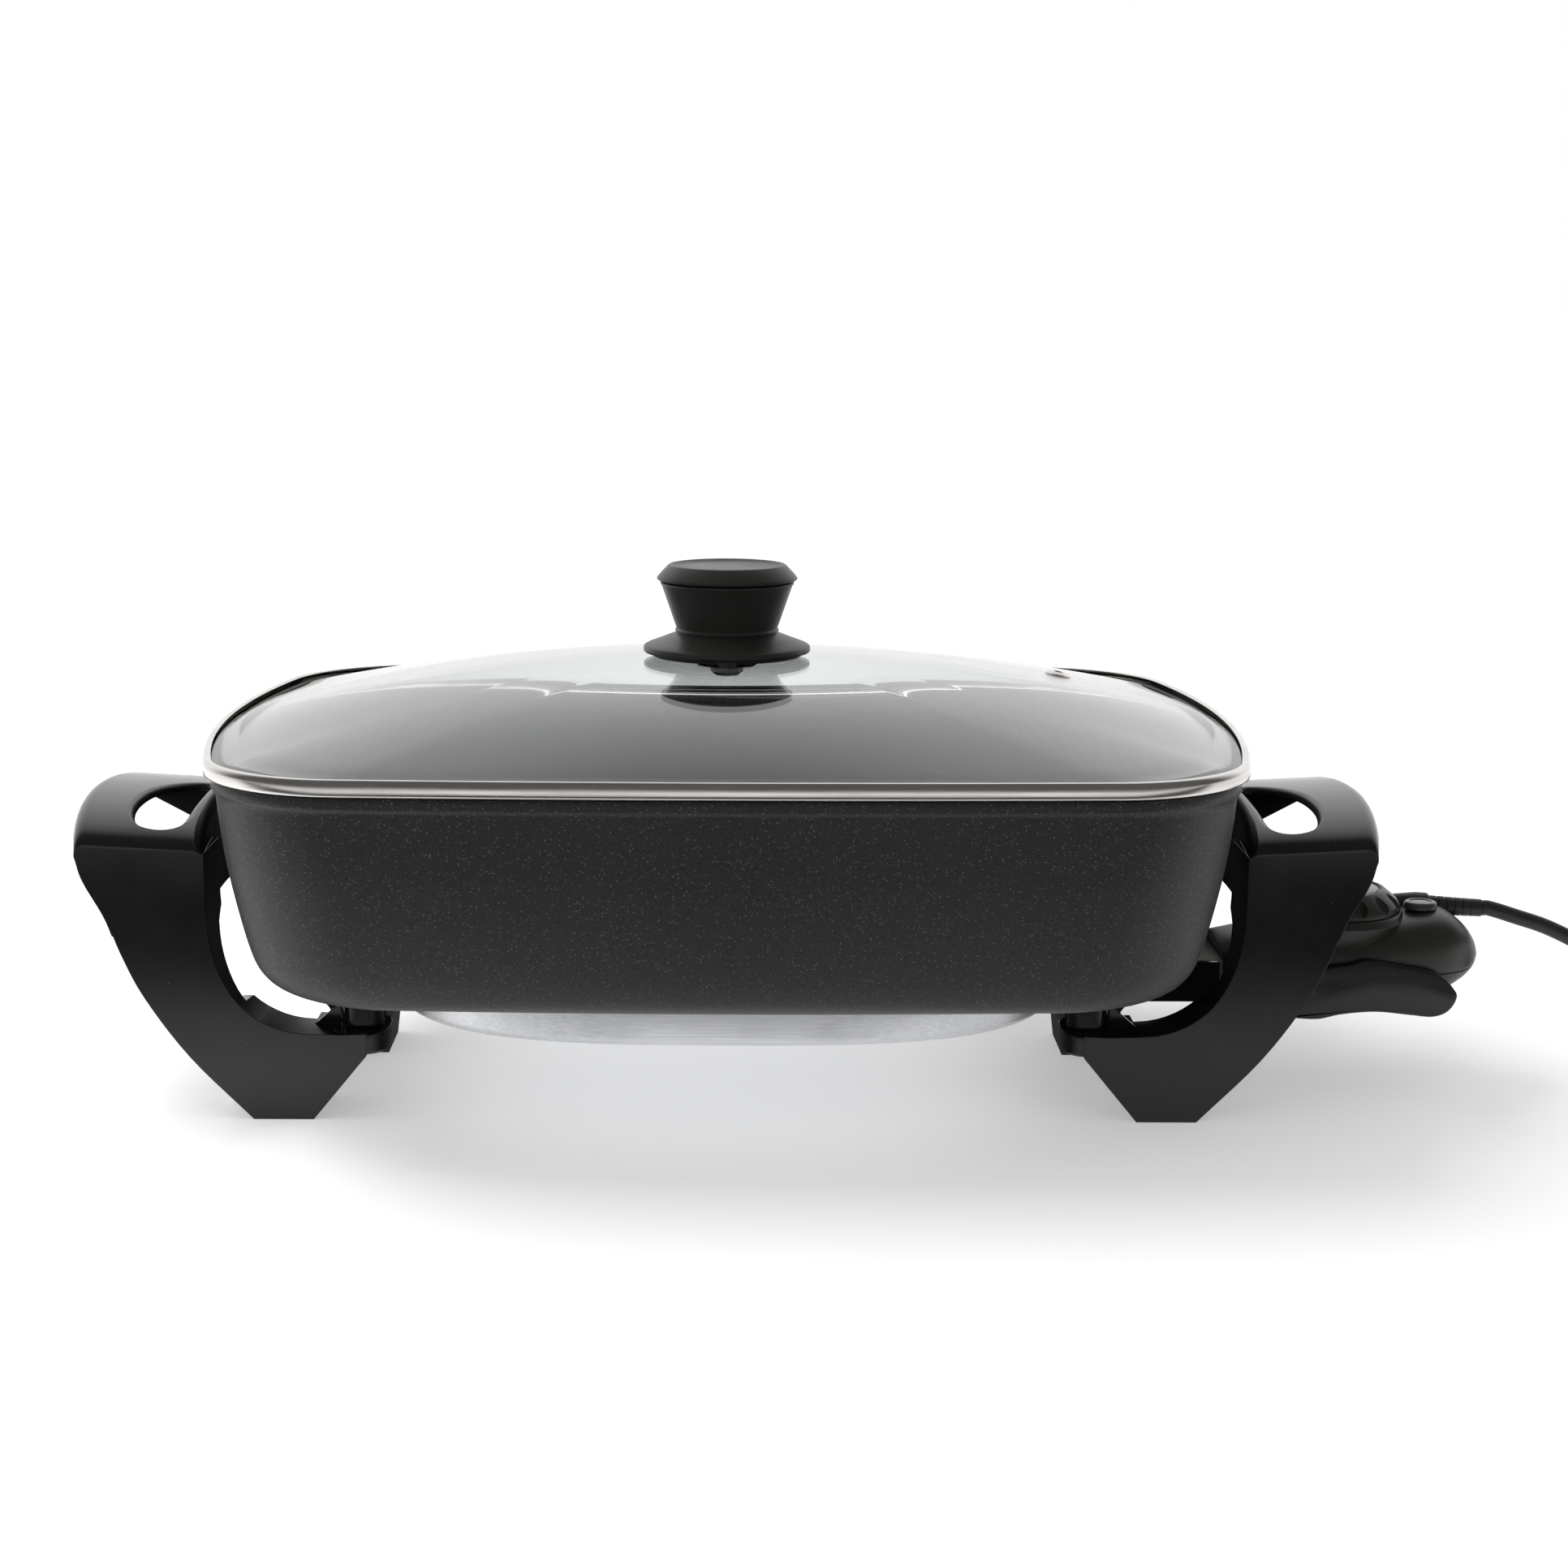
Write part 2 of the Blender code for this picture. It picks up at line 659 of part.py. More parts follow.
def bowed_outline(half_x, half_y, corner):
    """A rounded rectangle whose four sides bulge, as points round the plan."""
    flat_x = half_x - SIDE_BOW
    flat_y = half_y - FRONT_BOW
    quarter = []
    for i in range(SIDE_STEPS):
        quarter.append((flat_x, (flat_y - corner) * i / SIDE_STEPS))
    for i in range(CORNER_STEPS + 1):
        angle = math.pi / 2 * i / CORNER_STEPS
        quarter.append((flat_x - corner + corner * math.cos(angle),
                        flat_y - corner + corner * math.sin(angle)))
    for i in range(1, SIDE_STEPS):
        quarter.append(((flat_x - corner) * (1 - i / SIDE_STEPS), flat_y))
    bowed = [(x + SIDE_BOW * (1 - (y / flat_y) ** 2), y + FRONT_BOW * (1 - (x / flat_x) ** 2))
             for x, y in quarter]
    points = []
    for turn in range(4):
        spots = bowed if turn % 2 == 0 else [(x, y) for x, y in reversed(bowed)]
        sign_x = 1 if turn in (0, 3) else -1
        sign_y = 1 if turn in (0, 1) else -1
        points += [(sign_x * x, sign_y * y) for x, y in spots]
        if turn in (0, 2):
            points.append((0, sign_y * half_y))
    return tidy(points)


def tidy(points):
    """Drops points that repeat the one before."""
    kept = []
    for point in points:
        if not kept or (Vector(point) - Vector(kept[-1])).length > MERGE:
            kept.append(point)
    if (Vector(kept[0]) - Vector(kept[-1])).length <= MERGE:
        kept.pop()
    return kept


def pan_ring(inward, z):
    corner = PAN_CORNER - inward / 2
    return [(x, y, z) for x, y in bowed_outline(PAN_LENGTH / 2 - inward,
                                                PAN_WIDTH / 2 - inward, corner)]


def lid_ring(inward, z):
    reach = LID_OVERHANG - inward
    corner = PAN_CORNER + reach / 2
    return [(x, y, z) for x, y in bowed_outline(PAN_LENGTH / 2 + reach,
                                                PAN_WIDTH / 2 + reach, corner)]


def superellipse(half_x, half_y, power, steps):
    points = []
    for i in range(steps):
        angle = 2 * math.pi * i / steps
        c = math.cos(angle)
        s = math.sin(angle)
        points.append((half_x * math.copysign(abs(c) ** (2 / power), c),
                       half_y * math.copysign(abs(s) ** (2 / power), s)))
    return points


def open_skin(name, rings, bottom):
    """An open surface through rings, closed at its first ring when it has a bottom."""
    bm = bmesh.new()
    loops = [[bm.verts.new(point) for point in ring] for ring in rings]
    for low, high in zip(loops, loops[1:]):
        for i in range(len(low)):
            j = (i + 1) % len(low)
            bm.faces.new((low[i], low[j], high[j], high[i]))
    if bottom:
        bm.faces.new(list(reversed(loops[0])))
    return mesh_object(name, bm)


def thicken(obj, thickness):
    """Gives an open surface a wall on its inner side."""
    mod = obj.modifiers.new("wall", "SOLIDIFY")
    mod.thickness = thickness
    mod.offset = -1
    mod.use_even_offset = True
    return obj


def make_pan():
    rings = []
    for i in range(PAN_FOOT_STEPS + 1):
        angle = math.pi / 2 * i / PAN_FOOT_STEPS
        inward = PAN_TAPER + PAN_FOOT_RADIUS * (1 - math.sin(angle))
        rings.append(pan_ring(inward, PAN_Z + PAN_FOOT_RADIUS * (1 - math.cos(angle))))
    rings.append(pan_ring(PAN_RIM_ROLL, PAN_RIM_Z - PAN_RIM_DEPTH - PAN_RIM_ROLL))
    rings.append(pan_ring(0, PAN_RIM_Z - PAN_RIM_DEPTH))
    rings.append(pan_ring(0, PAN_RIM_Z))
    finish(thicken(open_skin("pan", rings, True), PAN_WALL), "pan", NONSTICK)


def element_path():
    """One loop through the base, with both ends out of its right side."""
    edge = PLATE_HALF_X + ELEMENT_STUB
    corners = [(edge, PIN_SPREAD), (ELEMENT_LOOP_X, PIN_SPREAD),
               (ELEMENT_LOOP_X, ELEMENT_LOOP_Y), (-ELEMENT_LOOP_X, ELEMENT_LOOP_Y),
               (-ELEMENT_LOOP_X, -ELEMENT_LOOP_Y), (ELEMENT_LOOP_X, -ELEMENT_LOOP_Y),
               (ELEMENT_LOOP_X, -PIN_SPREAD), (edge, -PIN_SPREAD)]
    path = [corners[0]]
    for before, here, after in zip(corners, corners[1:], corners[2:]):
        here = Vector(here)
        back = (Vector(before) - here).normalized()
        ahead = (Vector(after) - here).normalized()
        middle = here + (back + ahead) * ELEMENT_TURN_RADIUS
        for i in range(5):
            angle = math.pi / 2 * i / 4
            spot = middle - ahead * ELEMENT_TURN_RADIUS * math.cos(angle) \
                - back * ELEMENT_TURN_RADIUS * math.sin(angle)
            path.append(tuple(spot))
    path.append(corners[-1])
    return [(x, y, AXIS_Z) for x, y in path]


def make_base():
    wide = superellipse(PLATE_HALF_X, PLATE_HALF_Y, PLATE_POWER, PLATE_STEPS)
    low = superellipse(PLATE_HALF_X - PLATE_EDGE, PLATE_HALF_Y - PLATE_EDGE, PLATE_POWER,
                       PLATE_STEPS)
    top = PLATE_Z + PLATE_THICK
    base = loft("heat_plate", [[(x, y, PLATE_Z) for x, y in low],
                               [(x, y, PLATE_Z + PLATE_EDGE) for x, y in wide],
                               [(x, y, top) for x, y in wide]])
    path = element_path()
    long_path = [(path[0][0] + OVERRUN, *path[0][1:])] + path[1:-1] \
        + [(path[-1][0] + OVERRUN, *path[-1][1:])]
    shape(base, cutter(tube("element_way", long_path, ELEMENT_RADIUS + FIT_GAP, 1)))
    shape(base, cutter(cylinder("well_way", (WELL_DEPTH_X - SEAT_GAP, 0, AXIS_Z),
                                (PLATE_HALF_X + OVERRUN, 0, AXIS_Z), WELL_RADIUS + FIT_GAP)))
    for side in (-1, 1):
        spot = (GUARD_SCREW_X, side * GUARD_SCREW_Y)
        shape(base, cutter(cylinder("guard_tap", (*spot, PLATE_Z - OVERRUN),
                                    (*spot, PLATE_Z + GUARD_SCREW_LENGTH),
                                    SCREW_RADIUS + FIT_GAP)))
    finish(base, "heat_plate", CAST)
    finish(tube("heating_element", path, ELEMENT_RADIUS, 1), "heating_element", STEEL)


def make_terminals():
    start = PLATE_HALF_X + ELEMENT_STUB + SEAT_GAP
    for side, place in SIDES:
        y = side * PIN_SPREAD
        pin = cylinder("pin", (start, y, AXIS_Z), (PIN_REACH - PIN_RADIUS, y, AXIS_Z),
                       PIN_RADIUS)
        tip = cylinder("tip", (PIN_REACH - PIN_RADIUS - MERGE, y, AXIS_Z),
                       (PIN_REACH, y, AXIS_Z), PIN_RADIUS, PIN_RADIUS / 2)
        finish(settle_union(pin, tip), "terminal_pin_" + place, STEEL)
        bead = turned("bead", [(PIN_RADIUS + FIT_GAP, BEAD_LENGTH), (BEAD_RADIUS, BEAD_LENGTH),
                               (BEAD_RADIUS, 0), (PIN_RADIUS + FIT_GAP, 0)], sides=SMALL_ROUND)
        bead.data.transform(Matrix.Rotation(math.pi / 2, 4, "Y"))
        bead.data.transform(Matrix.Translation((start, y, AXIS_Z)))
        finish(bead, "pin_insulator_" + place, CERAMIC)
    depth = PLATE_HALF_X + WELL_STUB - WELL_DEPTH_X
    wall = WELL_RADIUS - WELL_BORE
    well = turned("thermowell", [(0, wall), (WELL_BORE, wall), (WELL_BORE, depth),
                                 (WELL_RADIUS, depth), (WELL_RADIUS, 0), (0, 0)],
                  sides=SMALL_ROUND)
    well.data.transform(Matrix.Rotation(math.pi / 2, 4, "Y"))
    well.data.transform(Matrix.Translation((WELL_DEPTH_X, 0, AXIS_Z)))
    finish(well, "thermowell", STEEL)


def settle_union(one, two):
    cutter(one)
    cutter(two)
    shape(one, two, "UNION")
    solid = settle(one)
    bpy.data.objects.remove(two, do_unlink=True)
    return solid


def screw(name, x, y, head_z, length, radius, head_radius, head_thick, up=True):
    """A pan-head screw along Z whose head starts at head_z and points down when up."""
    turn = 1 if up else -1
    profile = [(0, length), (radius, length - radius / 2), (radius, 0), (head_radius, 0),
               (head_radius, -head_thick * HEAD_EDGE_SHARE),
               (head_radius * HEAD_FLAT_SHARE, -head_thick), (0, -head_thick)]
    obj = turned(name, profile, sides=SMALL_ROUND)
    obj.data.transform(Matrix.Diagonal((1, turn, turn, 1)))
    obj.data.transform(Matrix.Translation((x, y, head_z)))
    return obj


def make_guard():
    top = PAN_Z - GUARD_TOP_DROP
    floor_top = PLATE_Z - SEAT_GAP
    floor_low = floor_top - GUARD_WALL
    start = PLATE_HALF_X + GUARD_WALL
    guard = cutter(box("terminal_guard", (GUARD_INNER_X, -GUARD_HALF, floor_low),
                       (GUARD_OUTER_X, GUARD_HALF, floor_top)))
    for side in (-1, 1):
        near = side * (GUARD_HALF - GUARD_WALL)
        far = side * GUARD_HALF
        wall = box("guard_wall", (start, min(near, far), floor_low),
                   (GUARD_OUTER_X, max(near, far), top))
        shape(guard, cutter(wall), "UNION")
    for side in (-1, 1):
        spot = (GUARD_SCREW_X, side * GUARD_SCREW_Y)
        hole = cylinder("guard_hole", (*spot, floor_low - OVERRUN), (*spot, floor_top + OVERRUN),
                        SCREW_RADIUS + FIT_GAP)
        shape(guard, cutter(hole))
    finish(guard, "terminal_guard", GLOSS, smooth=False)
    for side, place in SIDES:
        head = screw("guard_screw", GUARD_SCREW_X, side * GUARD_SCREW_Y, floor_low - SEAT_GAP,
                     GUARD_SCREW_LENGTH, SCREW_RADIUS, SCREW_HEAD_RADIUS, SCREW_HEAD_THICK)
        finish(head, "guard_screw_" + place, STEEL)


def handle_top(y):
    """Height of the handle's top face: a shallow crown that rolls over at both ends."""
    flat = BRACKET_HALF_DEPTH - HANDLE_ROLL
    along = min(abs(y), flat)
    top = HANDLE_TOP_Z - HANDLE_CROWN * (along / flat) ** 2
    over = max(abs(y) - flat, 0) / HANDLE_ROLL
    return top - HANDLE_ROLL * (1 - math.sqrt(max(1 - over ** 2, 0)))


def handle_outer(y):
    return HANDLE_REACH - HANDLE_BOW * (y / BRACKET_HALF_DEPTH) ** 2


def handle_inner(y):
    return HANDLE_INNER + HANDLE_INNER_BOW * (1 - (y / BRACKET_HALF_DEPTH) ** 2)


def skirt_bottom(y):
    end = SKIRT_FRONT_Z if y < 0 else SKIRT_REAR_Z
    return SKIRT_MID_Z + (end - SKIRT_MID_Z) * (y / BRACKET_HALF_DEPTH) ** 2


def leg_place(share):
    """A share of the leg's side view as (x, z)."""
    start = POST_X - PAD_RADIUS
    full = handle_top(BRACKET_HALF_DEPTH) / FRONT_OUTER_SHARES[0][1]
    return start + (LEG_OUTER - start) * share[0], full * share[1]


FRONT_EDGE = smooth_outline([leg_place(share) for share in FRONT_OUTER_SHARES]
                            + [(FOOT_OUTER, 0)])
REAR_EDGE = smooth_outline([leg_place(share) for share in REAR_OUTER_SHARES]
                           + [(REAR_FOOT_OUTER, 0)])


def skirt_lean(z):
    """How far the outer skirt curves in at a height, as the front leg's edge does."""
    for (high_x, high_z), (low_x, low_z) in zip(FRONT_EDGE, FRONT_EDGE[1:]):
        if low_z <= z <= high_z:
            share = (z - low_z) / (high_z - low_z)
            return LEG_OUTER - low_x - (high_x - low_x) * share
    return 0


def deck_block(side, wall):
    """The handle's outer form, or with a wall its hollow, lofted from front to back."""
    rings = []
    edge = HANDLE_EDGE - wall * HOLLOW_EDGE_SHARE
    bend = edge * (1 - math.sqrt(0.5))
    open_drop = OVERRUN if wall else 0
    for y in deck_stations(BRACKET_HALF_DEPTH - max(wall, SEAT_GAP)):
        top = handle_top(y) - wall
        outer = handle_outer(y) - wall
        inner = handle_inner(y) + wall
        low = skirt_bottom(y) - open_drop
        if wall:
            low = min(low, SKIRT_INNER_Z - open_drop)
        section = [(inner, SKIRT_INNER_Z - open_drop), (inner, top - edge),
                   (inner + bend, top - bend), (inner + edge, top), (outer - edge, top),
                   (outer - bend, top - bend)]
        for i in range(SKIRT_STEPS + 1):
            z = top - edge + (low - top + edge) * i / SKIRT_STEPS
            section.append((outer - skirt_lean(z), z))
        rings.append([(side * x, y, z) for x, z in section])
    return loft("deck", rings)


def deck_stations(end):
    flat = BRACKET_HALF_DEPTH - HANDLE_ROLL
    inner = [flat * i / DECK_STATIONS for i in range(DECK_STATIONS + 1)]
    roll = [flat + HANDLE_ROLL * math.sin(math.pi / 2 * (i + 1) / ROLL_STATIONS)
            for i in range(ROLL_STATIONS)]
    half = [y for y in inner + roll if y < end - MERGE] + [end]
    return [-y for y in reversed(half)] + half[1:]


def leg_outline(outer_edge, inner_shares, foot_inner):
    """Side view of a leg as (x, z): outer edge down, foot, pad and inner edge up."""
    inner_edge = smooth_outline([leg_place(share) for share in inner_shares])
    pad_low = PAD_TOP_Z - PAD_THICK
    pad_end = POST_X - PAD_RADIUS
    knee = min(POST_X, foot_inner)
    return tidy(outer_edge + [(foot_inner, 0), (knee, pad_low), (pad_end + PAD_ROUND, pad_low),
                              (pad_end, pad_low + PAD_ROUND), (pad_end, PAD_TOP_Z)]
                + inner_edge)


def leg_block(side, points, near, far):
    """A leg's outline run from one depth to another, bowed out where the handle bows."""
    rings = []
    rise = SKIRT_MID_Z - SKIRT_FRONT_Z
    for i in range(LEG_STATIONS + 1):
        y = near + (far - near) * i / LEG_STATIONS
        bow = handle_outer(y) - handle_outer(BRACKET_HALF_DEPTH)
        ring = []
        for x, z in points:
            share = min(max((z - SKIRT_FRONT_Z) / rise, 0), 1)
            outward = bow * share if x > handle_inner(y) + BRACKET_WALL else 0
            ring.append((side * (x + outward), y, z))
        rings.append(ring)
    return loft("leg", rings)


def pad_and_gusset(side, end):
    """The pad under a post, with a small rib beside the post."""
    spot = (side * POST_X, end * POST_Y)
    pad_low = PAD_TOP_Z - PAD_THICK
    sunk = PAD_TOP_Z - BRACKET_WALL / 2
    near = POST_X + POST_RADIUS + SEAT_GAP
    rib = [(side * near, sunk), (side * near, PAD_TOP_Z + GUSSET_RISE),
           (side * (near + GUSSET_RUN), sunk)]
    half = GUSSET_THICK / 2
    return (cylinder("pad", (*spot, pad_low), (*spot, PAD_TOP_Z), PAD_RADIUS, sides=ROUND),
            plate("gusset", rib, end * POST_Y - half, end * POST_Y + half, "Y"))


def finger_outline(side):
    """The opening in the handle, bowed with it."""
    middle = (FINGER_INNER + FINGER_OUTER) / 2
    ring = superellipse((FINGER_OUTER - FINGER_INNER) / 2, FINGER_HALF_Y, FINGER_POWER, ROUND)
    return [(side * (middle + x + FINGER_BOW * (1 - (y / FINGER_HALF_Y) ** 2)), y)
            for x, y in ring]


def make_bracket(name, side):
    front = leg_outline(FRONT_EDGE, FRONT_INNER_SHARES, FOOT_INNER)
    rear = leg_outline(REAR_EDGE, REAR_INNER_SHARES, REAR_FOOT_INNER)
    body = cutter(deck_block(side, 0))
    hollows = [deck_block(side, BRACKET_WALL)]
    for end, outline in ((-1, front), (1, rear)):
        face = end * BRACKET_HALF_DEPTH
        back = end * (BRACKET_HALF_DEPTH - LEG_DEPTH)
        shape(body, cutter(leg_block(side, outline, face, back)), "UNION")
        hollows.append(leg_block(side, inset(outline, BRACKET_WALL),
                                 face - end * BRACKET_WALL, back - end * OVERRUN))
    for hollow in hollows:
        shape(body, cutter(hollow))
    pad_low = PAD_TOP_Z - PAD_THICK
    for end in (-1, 1):
        for extra in pad_and_gusset(side, end):
            shape(body, cutter(extra), "UNION")
        spot = (side * POST_X, end * POST_Y)
        shape(body, cutter(cylinder("screw_way", (*spot, pad_low), (*spot, PAD_TOP_Z + OVERRUN),
                                    BRACKET_SCREW_RADIUS + FIT_GAP)))
        shape(body, cutter(cylinder("screw_recess", (*spot, pad_low - OVERRUN),
                                    (*spot, pad_low + BRACKET_RECESS),
                                    BRACKET_HEAD_RADIUS + FIT_GAP)))
    shape(body, cutter(plate("finger_way", finger_outline(side), SKIRT_REAR_Z - OVERRUN,
                             HANDLE_TOP_Z + OVERRUN)))
    finish(settle(body), name, GLOSS)


def make_posts():
    low = PAD_TOP_Z + SEAT_GAP
    high = PAN_Z - SEAT_GAP
    head_z = PAD_TOP_Z - PAD_THICK + BRACKET_RECESS - SEAT_GAP
    for side, hand in ((-1, "left_"), (1, "right_")):
        for end, place in SIDES:
            spot = (side * POST_X, end * POST_Y, 0)
            profile = [(POST_BORE + FIT_GAP, high), (POST_RADIUS, high), (POST_RADIUS, low),
                       (POST_BORE + FIT_GAP, low)]
            finish(turned("post", profile, spot, sides=12), "post_" + hand + place, GLOSS)
            head = screw("bracket_screw", spot[0], spot[1], head_z,
                         high - head_z - POST_RADIUS, BRACKET_SCREW_RADIUS,
                         BRACKET_HEAD_RADIUS, BRACKET_HEAD_THICK)
            finish(head, "post_screw_" + hand + place, STEEL)


def dome_height(share):
    return DOME_RISE * (1 - share ** DOME_POWER)


def dome_ring(share):
    """A ring of the dome's outer face: round at the knob, the rim's outline at the edge."""
    ring = []
    for x, y, _ in lid_ring(BAND_LIP + BRIM_WIDTH, 0):
        edge = Vector((x, y))
        place = (edge.normalized() * KNOB_HOLE).lerp(edge, share)
        ring.append((place.x, place.y, GLASS_Z + GLASS_THICK + dome_height(share)))
    return ring


def dome_share(x, y):
    """The share of the way from the knob's hole to the brim at which a point lies."""
    spot = Vector((x, y))
    ring = [Vector(point[:2]) for point in lid_ring(BAND_LIP + BRIM_WIDTH, 0)]
    for start, end in zip(ring, ring[1:] + ring[:1]):
        if start.cross(spot) >= 0 > end.cross(spot):
            reach = start.cross(end) / spot.normalized().cross(end - start)
            return (spot.length - KNOB_HOLE) / (abs(reach) - KNOB_HOLE)
    return 1


def make_lid():
    rings = [dome_ring((i / DOME_RINGS) ** DOME_RING_POWER) for i in range(DOME_RINGS + 1)]
    rings.append(lid_ring(BAND_THICK + GLASS_INSET, GLASS_Z + GLASS_THICK))
    glass = cutter(thicken(open_skin("lid_glass", rings, False), GLASS_THICK))
    shape(glass, cutter(cylinder("vent_way", (VENT_X, VENT_Y, GLASS_Z - OVERRUN),
                                 (VENT_X, VENT_Y, GLASS_Z + GLASS_THICK + DOME_RISE),
                                 VENT_RADIUS + FIT_GAP)))
    finish(glass, "lid_glass", GLASS, LID_AXIS)
    low = BAND_Z + BAND_THICK
    high = BAND_TOP_Z - BAND_THICK
    band = loft("lid_rim", [
        lid_ring(0, BAND_Z + BAND_EDGE), lid_ring(0, BAND_TOP_Z - BAND_EDGE),
        lid_ring(BAND_EDGE, BAND_TOP_Z), lid_ring(BAND_LIP, BAND_TOP_Z),
        lid_ring(BAND_LIP, high), lid_ring(BAND_THICK, high), lid_ring(BAND_THICK, low),
        lid_ring(BAND_LIP, low), lid_ring(BAND_LIP, BAND_Z), lid_ring(BAND_EDGE, BAND_Z)],
        closed=True)
    finish(band, "lid_rim", STEEL, LID_AXIS)


def make_vent():
    share = dome_share(VENT_X, VENT_Y)
    z = GLASS_Z + GLASS_THICK + dome_height(share)
    slope = DOME_RISE * DOME_POWER * share ** (DOME_POWER - 1) / (PAN_LENGTH / 2)
    sink = (VENT_FLANGE + VENT_WALL) * slope
    top = z + sink + SEAT_GAP
    bore = VENT_RADIUS - VENT_WALL
    bottom = z - GLASS_THICK - sink - SEAT_GAP
    eyelet = turned("vent_eyelet", [
        (bore, top + VENT_FLANGE_THICK), (VENT_FLANGE, top + VENT_FLANGE_THICK),
        (VENT_FLANGE, top), (VENT_RADIUS, top), (VENT_RADIUS, bottom),
        (bore, bottom)], (VENT_X, VENT_Y, 0), sides=SMALL_ROUND)
    finish(eyelet, "vent_eyelet", STEEL, LID_AXIS)


def make_knob():
    seal_z = GLASS_Z + GLASS_THICK + DOME_RISE + SEAT_GAP
    flange_z = seal_z + SEAL_THICK + SEAT_GAP
    seal = turned("knob_seal", [(KNOB_HOLE, seal_z + SEAL_THICK), (SEAL_RADIUS, seal_z + SEAL_THICK),
                                (SEAL_RADIUS, seal_z), (KNOB_HOLE, seal_z)])
    nub = cylinder("seal_nub", (0, -SEAL_RADIUS, seal_z), (0, -SEAL_RADIUS, seal_z + SEAL_THICK),
                   SEAL_NUB_RADIUS)
    cutter(seal)
    shape(seal, cutter(nub), "UNION")
    finish(settle(seal), "knob_seal", SILICONE, LID_AXIS)
    cap_z = flange_z + KNOB_CAP_Z
    body_top = cap_z - SEAT_GAP
    shelf = KNOB_CAP_RADIUS - KNOB_CAP_SKIRT
    neck = KNOB_COLLAR_RADIUS
    collar = flange_z + KNOB_COLLAR_Z
    pocket = flange_z + INSERT_LENGTH + SEAT_GAP
    flange = [(KNOB_FLANGE_RADIUS * wide, flange_z + KNOB_FLANGE_EDGE * high)
              for wide, high in KNOB_FLANGE_SHARES]
    body = turned("knob_body", [
        (0, body_top), (shelf, body_top), (neck, collar + KNOB_WAIST_LIP),
        (neck + KNOB_WAIST_LIP, collar), (neck + KNOB_WAIST_LIP / 2, collar - KNOB_WAIST_LIP),
        (neck + KNOB_WAIST_LIP, collar - KNOB_COLLAR_Z * KNOB_STEP_SHARE)] + flange + [
        (KNOB_FLANGE_RADIUS, flange_z), (INSERT_RADIUS + FIT_GAP, flange_z),
        (INSERT_RADIUS + FIT_GAP, pocket), (0, pocket)])
    finish(body, "knob_body", MATTE, LID_AXIS)
    knob_top = flange_z + KNOB_HEIGHT
    rise = knob_top - cap_z
    dished, lip = (KNOB_CAP_TOP_RADIUS * share for share in KNOB_DISH_SHARES)
    fall, edge, foot = (rise * share for share in KNOB_BEVEL_SHARES)
    cap = turned("knob_cap", [
        (0, knob_top - KNOB_CAP_DISH), (dished, knob_top - KNOB_CAP_DISH), (lip, knob_top),
        (KNOB_CAP_TOP_RADIUS, knob_top - fall), (KNOB_CAP_RADIUS, cap_z + edge),
        (KNOB_CAP_RADIUS, cap_z + foot), (KNOB_CAP_RADIUS - KNOB_CAP_SKIRT / 3, cap_z),
        (0, cap_z)])
    finish(cap, "knob_cap", MATTE, LID_AXIS)
    insert_low = flange_z
    insert = turned("knob_insert", [
        (INSERT_BORE, insert_low + INSERT_LENGTH), (INSERT_RADIUS, insert_low + INSERT_LENGTH),
        (INSERT_RADIUS, insert_low), (INSERT_BORE, insert_low)], sides=SMALL_ROUND)
    finish(insert, "knob_insert", BRASS, LID_AXIS)
    washer_top = GLASS_Z + DOME_RISE - SEAT_GAP * 2
    washer_low = washer_top - WASHER_THICK
    washer = turned("knob_washer", [
        (KNOB_SCREW_RADIUS + FIT_GAP, washer_top), (WASHER_RADIUS, washer_top),
        (WASHER_RADIUS, washer_low), (KNOB_SCREW_RADIUS + FIT_GAP, washer_low)])
    finish(washer, "knob_washer", SILICONE, LID_AXIS)
    head_z = washer_low - SEAT_GAP
    length = insert_low + INSERT_LENGTH * KNOB_BITE_SHARE - head_z
    finish(screw("knob_screw", 0, 0, head_z, length, KNOB_SCREW_RADIUS, KNOB_SCREW_HEAD,
                 KNOB_SCREW_HEAD_THICK), "knob_screw", STEEL, LID_AXIS)


def housing_rings(wall):
    """Sections along the housing; a wall thickness gives its inner form."""
    rings = []
    length = HOUSING_END - HOUSING_START
    height = HOUSING_TOP_Z - HOUSING_BOTTOM_Z
    for along, wide, high, low in HOUSING_SHARES:
        x = HOUSING_START + length * along
        x = min(max(x, HOUSING_START + wall), HOUSING_END - wall)
        half = max(HOUSING_HALF * wide - wall, wall / 2)
        top = HOUSING_BOTTOM_Z + height * high
        bottom = HOUSING_BOTTOM_Z + height * low
        tall = max((top - bottom) / 2 - wall, wall / 2)
        middle = (top + bottom) / 2
        ring = superellipse(half, tall, HOUSING_POWER, HOUSING_STEPS)
        rings.append([(x, y, middle + z) for y, z in ring])
    return rings


def housing_half(name, keep_top):
    outer = cutter(loft(name, housing_rings(0)))
    shape(outer, cutter(loft(name + "_hollow", housing_rings(HOUSING_WALL))))
    reach = HOUSING_HALF * 2
    start = HOUSING_START - OVERRUN
    end = HOUSING_END + OVERRUN
    if keep_top:
        spare = box(name + "_spare", (start, -reach, 0), (end, reach, PARTING_Z + SEAT_GAP / 2))
    else:
        spare = box(name + "_spare", (start, -reach, PARTING_Z - SEAT_GAP / 2),
                    (end, reach, HOUSING_TOP_Z * 2))
    shape(outer, cutter(spare))
    low, high = nose_heights()
    nose = box(name + "_nose_way", (start, -NOSE_HALF - SEAT_GAP, low - SEAT_GAP),
               (NOSE_X + NOSE_LENGTH + SEAT_GAP, NOSE_HALF + SEAT_GAP, high + SEAT_GAP))
    shape(outer, cutter(nose))
    return outer


def nose_heights():
    middle = AXIS_Z - SEAT_GAP
    return middle - NOSE_HEIGHT / 2, middle + NOSE_HEIGHT / 2


